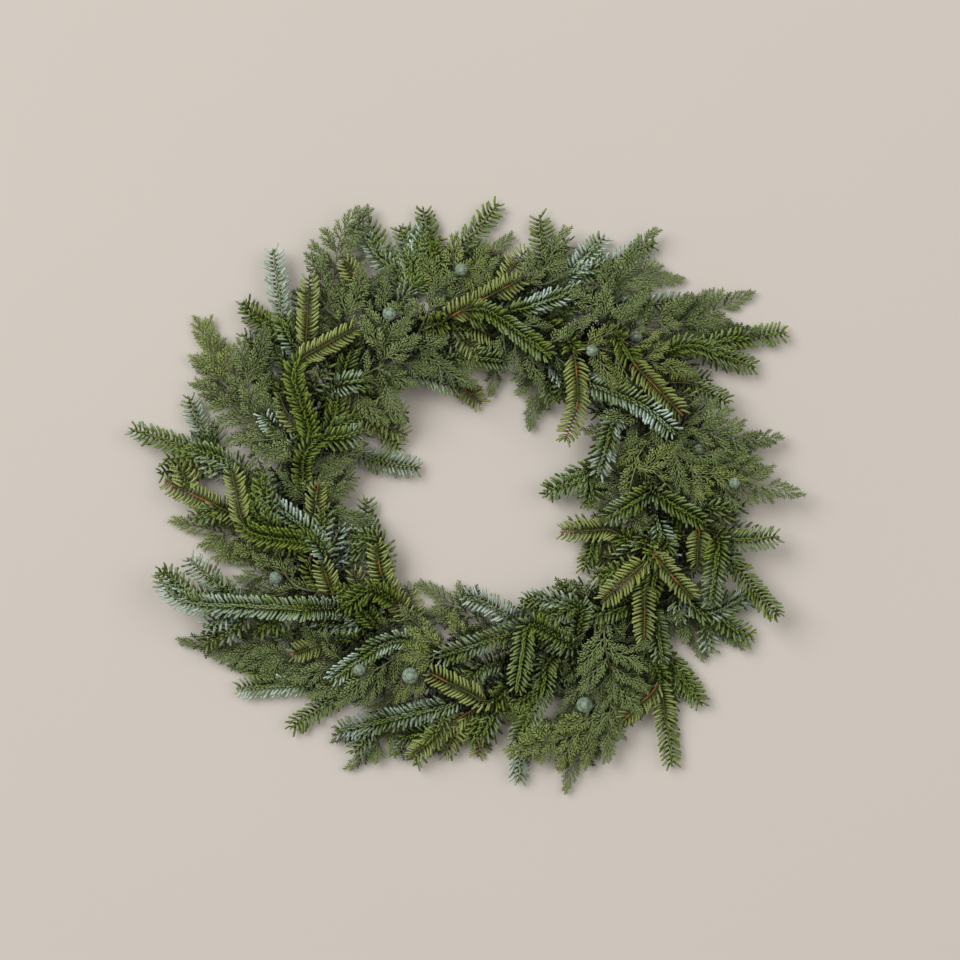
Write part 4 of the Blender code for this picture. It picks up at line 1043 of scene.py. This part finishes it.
class Bough:
    """The finished shape of one node: copies of shapes, each placed and given painted shade in its
    own way.
    """

    def __init__(self, kind, cover):
        self.kind = kind
        self.cover = cover
        self.bm = bmesh.new()
        self.bm.verts.layers.float_color.new("leaf")
        self.copies = []
        self.middles = []

    def add(self, shape, matrix, tint, bloom, middle):
        """Add a copy of a shape, placed at the end; None keeps its own painted shade and bloom."""
        self.bm.from_mesh(shape)
        self.copies.append((len(shape.vertices), np.array(matrix), tint, bloom))
        self.middles.append(middle)

    def finish(self, name):
        """The bough's mesh, every copy moved to its place, with painted shade where it lies deep.
        """
        mesh = bpy.data.meshes.new(name)
        self.bm.to_mesh(mesh)
        self.bm.free()
        counts, matrices, tints, blooms = zip(*self.copies)
        middles = np.array(self.middles)
        places = np.ones((len(mesh.vertices), 4))
        flat = np.empty(len(mesh.vertices) * 3)
        mesh.vertices.foreach_get("co", flat)
        places[:, :3] = flat.reshape(-1, 3)
        moved = np.einsum("nij,nj->ni", np.repeat(matrices, counts, axis=0), places)[:, :3]
        moved[:, 2] = moved[:, 2].clip(FLOOR_CLEAR * MM, TALLEST * MM)
        mesh.vertices.foreach_set("co", moved.ravel())
        leaf = mesh.attributes["leaf"].data
        values = np.empty(len(mesh.vertices) * 4, np.float32)
        leaf.foreach_get("color", values)
        values = values.reshape(-1, 4)
        given = np.repeat([tint is not None for tint in tints], counts)
        # Painted shade: each copy is darkened by its depth under the leaves above, with a random
        # tint
        light = np.interp(self.cover.leaf_depths(middles), LEAF_DEPTHS[self.kind], PAINTED_SHADES)
        lights = LEAF_LIGHT[0] * light + LEAF_LIGHT[1] + [tint or 0.0 for tint in tints]
        reach = np.linalg.norm(middles[:, :2] - on_plan(HOLE_CENTRE), axis=1)
        lights = np.maximum(lights, np.interp(reach, *DARKEST))
        for channel, value in ((2, lights), (3, [bloom or 0.0 for bloom in blooms])):
            value = np.repeat(np.clip(value, 0.0, 1.0), counts)
            values[:, channel] = np.where(given, value, values[:, channel])
        leaf.foreach_set("color", values.ravel())
        mesh.update()
        return mesh


def twig_path(twig):
    """Points a step apart along a twig's smooth centreline, with radii and knot numbers."""
    axis = twig.axis()
    curve = smooth_curve(axis, CURVE_STEPS)
    knots = np.arange(len(curve)) / CURVE_STEPS
    radii = np.interp(knots, range(len(axis)), [twig.radius(place) for place in range(len(axis))])
    lengths = run_lengths(curve)
    places = np.arange(0.0, lengths[-1], PATH_STEP)
    points = np.stack([np.interp(places, lengths, curve[:, column]) for column in range(3)], axis=1)
    return points, np.interp(places, lengths, radii), np.interp(places, lengths, knots)


def path_frames(points, rolls):
    """Onward, side and up directions along a path, rolled about it by an angle at each point."""
    onward = np.gradient(points, axis=0)
    onward /= np.linalg.norm(onward, axis=1)[:, None]
    side = np.cross(onward, UPRIGHT)
    side /= np.linalg.norm(side, axis=1)[:, None]
    up = np.cross(side, onward)
    turned = side * np.cos(rolls)[:, None] + up * np.sin(rolls)[:, None]
    return onward, turned, np.cross(turned, onward)


def add_stem(bough, branch, frames, bark):
    """The woody stem as a round tube along a branch, with a bud at a fir twig's tip."""
    points = branch.points
    rings = list(range(0, len(points) - 1, round(RING_GAP / PATH_STEP))) + [len(points) - 1]
    end = FIR_BUD if branch.kind == "fir" else PLAIN_TIP
    stem = tube(len(rings) + len(end) - 1, STEM_SIDES)
    leaf = stem.verts.layers.float_color.new("leaf")
    onward, side, up = frames
    for vert in stem.verts:
        ring = round(vert.co.z)
        beyond, thick = end[max(0, ring - len(rings) + 1)]
        place = rings[min(ring, len(rings) - 1)]
        spot = points[place] + onward[place] * beyond
        around = side[place] * vert.co.x + up[place] * vert.co.y
        spot = spot + around * (branch.radii[place] * thick)
        fresh = bark if branch.leafy[place] or branch.kind == "cypress" else OLD_BARK
        # Painted shade: the stem is darker where it lies deep under other stems
        light = STEM_LIGHT * bough.cover.shade(points[place])
        vert[leaf] = (place / len(points), 0.5, light, fresh)
        vert.co = spot * MM
    bmesh.ops.recalc_face_normals(stem, faces=stem.faces[:])
    for face in stem.faces:
        face.material_index = 1
    mesh = template("stem", stem)
    bough.add(mesh, Matrix.Identity(4), None, None, points[0])
    bpy.data.meshes.remove(mesh)


def in_bounds(base, way, length):
    """The direction tilted so that its end stays above the floor and within the wreath's height."""
    end = min(max(base[2] + way[2] * length, LOWEST), HIGHEST)
    rise = max(-STEEPEST, min(STEEPEST, (end - base[2]) / length))
    flat = np.array((way[0], way[1], 0.0))
    level = flat / max(1e-6, np.linalg.norm(flat)) * math.sqrt(1.0 - rise**2)
    return level + np.array((0.0, 0.0, rise))


def placing(base, way, above, size):
    """The matrix that lays a shape's length along a way, with its upper side facing above."""
    facing = unit(above - way * (above @ way))
    across = np.cross(facing, way)
    matrix = Matrix.Identity(4)
    for row in range(3):
        for column, direction in enumerate((way, across, facing)):
            matrix[row][column] = direction[row] * size
        matrix[row][3] = base[row] * MM
    return matrix


def twig_branch(twig):
    """A twig of the layout as a branch: bare where it is bound to the ring."""
    points, radii, knots = twig_path(twig)
    start = SIDE_START
    if twig.parent is None:
        start = LANE_STEPS + (BUTT_KNOTS if twig.rests else 0) - 0.5
    first = int(np.searchsorted(knots, start))
    leafy = knots >= len(twig.stem) - 0.5
    slim = np.interp(knots, [start, start + BARE_RUN, len(twig.stem)], BARE_SLIM)
    return Branch(twig.kind, twig.look, points, radii * slim, leafy, first, twig.seed)


def shoot_branch(parent, spot, hand, seed, length, angles):
    """A side shoot that leaves a branch at a point and bends forwards."""
    rng = random.Random(seed)
    length = int(length or rng.uniform(*SHOOT_LENGTHS[parent.kind]))
    before = parent.points[max(0, spot - SHOOT_LOOK)]
    onward = unit(parent.points[min(len(parent.points) - 1, spot + SHOOT_LOOK)] - before)
    onward = unit(np.array((onward[0], onward[1], 0.0)))
    side = np.cross(onward, UPRIGHT) * hand
    turn = rng.uniform(-SHOOT_TURN, SHOOT_TURN)
    slope = rng.uniform(*SHOOT_SLOPES[parent.kind])
    low, high = SHOOT_HEIGHTS[parent.kind]
    point = parent.points[spot]
    points = [point]
    for step in range(length):
        angle = math.radians(turn + np.interp(step / length, (0.0, 1.0), angles))
        way = onward * math.cos(angle) + side * math.sin(angle)
        height = min(max(point[2] + slope, low), high)
        height = point[2] + SHOOT_EASE[0] * (height - point[2]) + SHOOT_EASE[1] * slope
        point = np.append((point + way * PATH_STEP)[:2], max(height, low))
        points.append(point)
    radii = np.linspace(*SHOOT_RADII, len(points))
    look = parent.look
    if parent.kind == "fir" and rng.random() < 0.5:
        look = rng.choice(SHOOT_LOOKS)
    leafy = np.zeros(len(points), bool)
    return Branch(parent.kind, look, np.array(points), radii, leafy, 2, rng.randrange(10**6))


def fans(branches):
    """Side shoots on both sides of every cypress frond, which make it broad and flat."""
    for group in branches.values():
        for parent in [branch for branch in group if branch.kind == "cypress"]:
            hand = 1
            for spot in range(parent.first + FAN_FIRST, len(parent.points), FAN_EVERY):
                hand = -hand
                left = len(parent.points) - spot
                if left < FAN_LEFT:
                    break
                seed = FAN_SEED + SEED_STEP * parent.seed + spot
                length = max(FAN_REACH[0] * left - FAN_REACH[1], FAN_LENGTHS[0])
                length = min(length, FAN_LENGTHS[1])
                group.append(shoot_branch(parent, spot, hand, seed, length, FAN_ANGLES))


class Cover:
    """How many layers of foliage lie over each cell of the plan, and how high they reach."""

    def __init__(self):
        xs = np.arange(-PLAN_HALF, PLAN_HALF, CELL)
        self.cells = np.stack(np.meshgrid(xs, xs, indexing="ij"), axis=2)
        self.layers = np.zeros(self.cells.shape[:2])
        self.tops = np.zeros(self.cells.shape[:2])
        reach = np.linalg.norm(self.cells - on_plan(HOLE_CENTRE), axis=2)
        self.allowed = (reach > BODY[0]) & (reach < BODY[1])
        self.leaves = []
        boxes = [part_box(node) for node in frame["nodes"] if node.startswith("cone_")]
        cones = [list((low + high) / 2) + [(high - low).z / 2] for low, high in boxes]
        self.cones = np.array(cones) / MM

    def window(self, point, half):
        """The part of the plan around a point, and which of its cells are within a distance."""
        low = ((point[:2] + PLAN_HALF - half) / CELL).astype(int)
        high = ((point[:2] + PLAN_HALF + half) / CELL).astype(int) + 2
        part = (slice(low[0], high[0]), slice(low[1], high[1]))
        return part, np.linalg.norm(self.cells[part] - point[:2], axis=2) < half

    def near(self, points, half):
        """The cells within half a width of a path."""
        found = np.zeros(self.layers.shape, bool)
        for point in points[::4]:
            part, beside = self.window(point, half)
            found[part] |= beside
        return found

    def raise_tops(self, points):
        """Lift the tops to a path's height beside it."""
        for point in points[::3]:
            part, beside = self.window(point, TOP_HALF)
            tops = self.tops[part]
            tops[beside] = np.maximum(tops[beside], point[2])

    def index(self, point):
        """The cell that a point lies over."""
        return tuple(((point[:2] + PLAN_HALF) / CELL).astype(int))

    def shade(self, point):
        """How light a stem is painted at a point: painted shade where it lies deep under other
        stems.
        """
        depth = self.tops[self.index(point)] - point[2]
        return float(np.interp(depth, STEM_DEPTHS, PAINTED_SHADES))

    def hides_cone(self, point):
        """Whether a leaf at a point would lie over a cone."""
        near = np.linalg.norm(self.cones[:, :2] - point[:2], axis=1) < self.cones[:, 3] + CONE_CLEAR
        return bool((near & (self.cones[:, 2] - CONE_DEPTH < point[2])).any())

    def settle_leaves(self):
        """Keep how high the leaves reach over each small cell of the plan, its neighbours too."""
        count = round(2 * PLAN_HALF / LEAF_CELL)
        leaves = np.array(self.leaves)
        cells = ((leaves[:, :2] + PLAN_HALF) / LEAF_CELL).astype(int)
        self.leaf_tops = np.zeros((count, count))
        for sideways in (-1, 0, 1):
            for upwards in (-1, 0, 1):
                beside = (cells[:, 0] + sideways, cells[:, 1] + upwards)
                np.maximum.at(self.leaf_tops, beside, leaves[:, 2])

    def leaf_depths(self, points):
        """How far each point lies under the highest leaves around it."""
        cells = ((points[:, :2] + PLAN_HALF) / LEAF_CELL).astype(int)
        return self.leaf_tops[cells[:, 0], cells[:, 1]] - points[:, 2]


def fill_out(branches):
    """Side shoots of every bough, wherever the wreath's body is still thin; returns the cover."""
    cover = Cover()
    for branch in (each for group in branches.values() for each in group):
        run = branch.points[branch.first :]
        cover.layers += cover.near(run, SHOOT_HALF)
        cover.raise_tops(run)
        cover.allowed |= cover.near(branch.points[branch.leafy], SHOOT_BESIDE)
    for node in sorted(branches):
        group = branches[node]
        for parent in list(group):
            spots = range(parent.first, len(parent.points) - SHOOT_LEFT, SHOOT_EVERY)
            for number, spot in enumerate(spots):
                hand = 1 if number % 2 else -1
                seed = SHOOT_SEED + SEED_STEP * parent.seed + number
                shoot = shoot_branch(parent, spot, hand, seed, None, SHOOT_ANGLES)
                beyond = shoot.points[SHOOT_ROOT:]
                if not all(cover.allowed[cover.index(point)] for point in beyond):
                    continue
                area = cover.near(shoot.points[SHOOT_THIN:], SHOOT_HALF)
                if cover.layers[area].mean() <= SHOOT_FULL[parent.kind]:
                    cover.layers += area
                    cover.raise_tops(shoot.points)
                    group.append(shoot)
    return cover


def leaf_way(frames, spot, hand, lift, sweep):
    """The side a leaf stands on, lifted by an angle, and its way, swept outwards by another."""
    onward, side, up = frames
    lift, sweep = math.radians(lift), math.radians(sweep)
    outwards = side[spot] * (hand * math.cos(lift)) + up[spot] * math.sin(lift)
    return outwards, unit(onward[spot] * math.cos(sweep) + outwards * math.sin(sweep))


def add_leaf(bough, shape, matrix, light, bloom, places):
    """Add a needle or branchlet by the places it reaches, unless it would hide a cone."""
    if not any(bough.cover.hides_cone(place) for place in places):
        bough.cover.leaves += places
        bough.add(shape, matrix, light, bloom, places[-2])


def fir_foliage(bough, branch, shapes):
    """A fir twig's stem and needles, combed to its sides and bent forwards."""
    rng = random.Random(FIR_SEED + branch.seed)
    points = branch.points
    rolls = np.full(len(points), math.radians(rng.uniform(-ROLLS["fir"], ROLLS["fir"])))
    bark = FIR_BARK[branch.look] if rng.random() < BRIGHT_BARKS else PLAIN_BARK
    frosted = FIR_BLOOM[branch.look] * rng.uniform(*TWIG_BLOOMS)
    upside_down = np.zeros(len(points), bool)
    if branch.look == "olive":
        upside_down = branch.leafy if branch.leafy.any() else ~upside_down
        wide = np.pad(upside_down, TURN_OVER // 2, mode="edge")
        rolls += math.pi * np.convolve(wide, np.ones(TURN_OVER) / TURN_OVER, mode="valid")
    frames = path_frames(points, rolls)
    add_stem(bough, branch, frames, bark)
    kind = rng.randrange(len(NEEDLE_TURNS))
    tint = rng.uniform(-TWIG_TINT, TWIG_TINT)
    total = len(points) * PATH_STEP
    place = float(branch.first)
    number = rng.randrange(len(UPPER_RANKS))
    while place < total - BARE_TIPS["fir"]:
        spot = int(place / PATH_STEP)
        ranks, gap = (LOWER_RANKS, LOWER_GAP) if upside_down[spot] else (UPPER_RANKS, UPPER_GAP)
        hand, lift, share = ranks[number % len(ranks)]
        number += 1
        left = total - place
        tip = min(1.0, left / FIR_TIP_RUN) ** FIR_TIP_EASE
        full = FIR_SWEEP if lift < STEEP_LIFT else STEEP_SWEEP
        sweep = FIR_TIP_SWEEP + (full - FIR_TIP_SWEEP) * tip
        sweep += rng.uniform(-FIR_SPREAD[0], FIR_SPREAD[0])
        lift += rng.uniform(-FIR_SPREAD[1], FIR_SPREAD[1])
        outwards, way = leaf_way(frames, spot, hand, lift, sweep)
        length = FIR_SHORTEST[0] + FIR_SHORTEST[1] * min(1.0, left / FIR_SHORT_RUN)
        length = FIR_NEEDLE * share * length * rng.uniform(*FIR_LENGTHS)
        base = points[spot] + outwards * branch.radii[spot] * BASE_DEPTH
        way = in_bounds(base, way, length)
        bent = kind if rng.random() < OFTEN_SAME else rng.randrange(len(shapes[hand]))
        bloom = frosted * rng.uniform(*NEEDLE_BLOOMS) * np.interp(left, BLOOM_ENDS, BLOOM_LEFT)
        facing = frames[2][spot] * FIR_FACING[0] + outwards * FIR_FACING[1]
        matrix = placing(base, way, facing, length * MM)
        places = [base + way * (reach * length) for reach in LEAF_REACHES["fir"]]
        light = tint + rng.uniform(-LEAF_TINT, LEAF_TINT)
        add_leaf(bough, shapes[hand][bent], matrix, light, bloom * share**2, places)
        gap *= 1.0 + DEEP_GAP * (1.0 - bough.cover.shade(base))
        place += gap if branch.leafy.any() else gap * SHOOT_SHARE


def cypress_foliage(bough, branch, shapes):
    """A cypress frond: flat branchlets on both sides of its stem, shorter towards its tip."""
    rng = random.Random(CYPRESS_SEED + branch.seed)
    points = branch.points
    rolls = np.full(len(points), math.radians(rng.uniform(-ROLLS["cypress"], ROLLS["cypress"])))
    frames = path_frames(points, rolls)
    add_stem(bough, branch, frames, FROND_BARK)
    tint = rng.uniform(-TWIG_TINT, TWIG_TINT)
    total = len(points) * PATH_STEP
    place = float(branch.first)
    hand = rng.choice((1, -1))
    run = min(total - branch.first, FROND_TAPER)
    while place < total - BARE_TIPS["cypress"]:
        spot = int(place / PATH_STEP)
        hand = -hand
        left = total - place
        along = min(1.0, max(0.0, 1.0 - left / run))
        length = CYPRESS_BRANCHLET * (1.0 - 0.5 * along) * rng.uniform(*FROND_LENGTHS)
        sweep = CYPRESS_SWEEP * min(1.0, FROND_CLOSING[0] + left / FROND_CLOSING[1])
        sweep += rng.uniform(-CYPRESS_SPREAD, CYPRESS_SPREAD)
        outwards, way = leaf_way(frames, spot, hand, rng.uniform(*CYPRESS_LIFTS), sweep)
        base = points[spot]
        way = in_bounds(base, way, length)
        tilted = frames[2][spot] + outwards * rng.uniform(-CYPRESS_TILT, CYPRESS_TILT)
        bloom = CYPRESS_YELLOW[branch.look] + rng.uniform(-YELLOW_TINT, YELLOW_TINT)
        matrix = placing(base, way, tilted, (0.5 + 0.5 * length / CYPRESS_BRANCHLET) * MM)
        shape = rng.choice(shapes[hand])
        places = [base + way * (reach * length) for reach in LEAF_REACHES["cypress"]]
        light = tint + rng.uniform(-LEAF_TINT, LEAF_TINT)
        add_leaf(bough, shape, matrix, light, bloom, places)
        gap = CYPRESS_GAP * (1.0 + DEEP_GAP * (1.0 - bough.cover.shade(base)))
        place += gap * FAN_SPARES if branch.leafy.any() and left > FAN_LEFT else gap
    matrix = placing(points[-2], frames[0][-1], frames[2][-1], 0.5 * MM)
    bough.add(shapes[1][0], matrix, tint, CYPRESS_YELLOW[branch.look], points[-1])


def add_piece(name, mesh, materials, slot, node):
    """Make a piece of a finished mesh, which rides on the wreath and stands for its solid."""
    for material in materials:
        mesh.materials.append(material)
    piece = bpy.data.objects.new(name, mesh)
    bpy.context.scene.collection.objects.link(piece)
    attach(piece, "root")
    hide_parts(node)


def add_cone(node, material):
    """A round cypress cone: twelve shield scales, each with a small point, and seams between."""
    low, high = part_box(node)
    centre = (low + high) / 2
    radius = (high - low).z / 2
    coarse = bmesh.new()
    bmesh.ops.create_icosphere(coarse, subdivisions=1, radius=1.0)
    shields = [vert.co.normalized() for vert in coarse.verts]
    coarse.free()
    bm = bmesh.new()
    bmesh.ops.create_icosphere(bm, subdivisions=4, radius=1.0)
    leaf = bm.verts.layers.float_color.new("leaf")
    skin, scale, tip = SHIELD_HEIGHTS
    for vert in bm.verts:
        angles = sorted(vert.co.angle(shield) for shield in shields)
        seam = min(1.0, (angles[1] - angles[0]) / SEAM_ANGLE)
        point = max(0.0, 1.0 - angles[0] / POINT_ANGLE)
        vert[leaf] = (seam, 0.5, 0.5, 0.5)
        vert.co = vert.co * min(1.0, skin + scale * seam**0.5 + tip * point) * radius + centre
    add_piece(node + "_shields", template(node + "_shields", bm), [material], "cone", node)


def wire_loop(name, points, radius, sides, material, slot, node):
    """A closed loop of round wire along smooth points."""
    curve = bpy.data.curves.new(name, "CURVE")
    curve.dimensions = "3D"
    curve.bevel_depth = radius * MM
    curve.bevel_resolution = sides // 2 - 1
    spline = curve.splines.new("POLY")
    spline.points.add(len(points) - 1)
    for spot, point in zip(spline.points, points):
        spot.co = (*[value * MM for value in point], 1.0)
    spline.use_cyclic_u = True
    spline.use_smooth = True
    helper = bpy.data.objects.new(name, curve)
    bm = bmesh.new()
    mesh = helper.to_mesh()
    bm.from_mesh(mesh)
    bmesh.ops.remove_doubles(bm, verts=bm.verts[:], dist=1e-7)
    bmesh.ops.recalc_face_normals(bm, faces=bm.faces[:])
    helper.to_mesh_clear()
    bpy.data.objects.remove(helper)
    add_piece(name, template(name, bm), [material], slot, node)


def closed_curve(points, steps):
    """A smooth closed curve through the points."""
    wrapped = [points[-1]] + list(points) + list(points[:2])
    return smooth_curve(wrapped, steps)[steps : -steps - 1]


def model_wreath():
    """Every piece of the wreath, from its layout."""
    twigs = make_twigs()
    pile_up(twigs)
    binding = binding_path()
    rest_on_butts(twigs, lay_stems(twigs, binding))
    fir_bark = bark_material("fir_bark", "#ab6430", "#4f4c2a")
    cypress_bark = bark_material("cypress_bark", "#7c8a54", "#5c6139")
    hands = (1, -1)
    needles = {hand: [fir_needle(hand * turn) for turn in NEEDLE_TURNS] for hand in hands}
    seeds = range(BRANCHLET_KINDS)
    branchlets = {hand: [cypress_branchlet(seed, hand) for seed in seeds] for hand in hands}
    dress = {"fir": fir_foliage, "cypress": cypress_foliage}
    shapes = {"fir": needles, "cypress": branchlets}
    finishes = {
        "fir": [fir_needle_material(), fir_bark],
        "cypress": [cypress_leaf_material(), cypress_bark],
    }
    branches = {}
    for twig in twigs:
        branches.setdefault(twig.node, []).append(twig_branch(twig))
    fans(branches)
    cover = fill_out(branches)
    boughs = {}
    for node, group in branches.items():
        boughs[node] = Bough(group[0].kind, cover)
        for branch in group:
            dress[branch.kind](boughs[node], branch, shapes[branch.kind])
    cover.settle_leaves()
    for node, bough in boughs.items():
        name = node + "_foliage"
        add_piece(name, bough.finish(name), finishes[bough.kind], bough.kind, node)
    bloom = cone_material()
    for node in frame["nodes"]:
        if node.startswith("cone_"):
            add_cone(node, bloom)
    ring = [on_ring(degrees) for degrees in range(0, 360, 2)]
    enamel = wire_material("green_enamelled_wire", "#2c3a2a", 0.4)
    thin = wire_material("green_binding_wire", "#2a4230", 0.45)
    wire_loop("ring_wire_loop", ring, RING_WIRE, 10, enamel, "ring_wire", "wire_ring")
    wound = closed_curve(binding, 4)
    wire_loop("binding_wire_winding", wound, BINDING_WIRE, 6, thin, "binding_wire", "binding_wire")


def add_floor():
    """The plain surface that the wreath lies on."""
    bm = bmesh.new()
    bmesh.ops.create_grid(bm, x_segments=1, y_segments=1, size=FLOOR_HALF)
    mesh = bpy.data.meshes.new("floor")
    bm.to_mesh(mesh)
    bm.free()
    mesh.materials.append(floor_material())
    floor = bpy.data.objects.new("floor", mesh)
    bpy.context.scene.collection.objects.link(floor)


def add_light(name, place, watts):
    """A soft square light that faces the wreath."""
    light = bpy.data.lights.new(name, "AREA")
    light.size = LIGHT_SIZE
    light.energy = watts
    light.color = linear("#fffdfd")[:3]
    item = bpy.data.objects.new(name, light)
    item.location = place
    item.rotation_euler = (-Vector(place)).to_track_quat("-Z", "Y").to_euler()
    bpy.context.scene.collection.objects.link(item)


def add_camera():
    """A camera straight above the photo's middle, far off with a long lens."""
    data = bpy.data.cameras.new("camera")
    data.lens = data.sensor_width * (CAMERA_HEIGHT - SHEET_HEIGHT) / SHEET_SIDE
    camera = bpy.data.objects.new("camera", data)
    middle = on_plan((480.0, 480.0)) * MM
    camera.location = (middle[0], middle[1], CAMERA_HEIGHT)
    bpy.context.scene.collection.objects.link(camera)
    bpy.context.scene.camera = camera


def light_scene():
    """Soft daylight from the top left, with pale surroundings and a weaker light on the right."""
    world = bpy.data.worlds.new("studio")
    world.use_nodes = True
    background = world.node_tree.nodes["Background"]
    background.inputs["Color"].default_value = linear("#f5efe3")
    background.inputs["Strength"].default_value = SKY_STRENGTH
    bpy.context.scene.world = world
    for name, (place, watts) in LIGHTS.items():
        add_light(name, place, watts)
    bpy.context.scene.view_settings.view_transform = "Standard"


add_camera()
add_floor()
light_scene()
model_wreath()
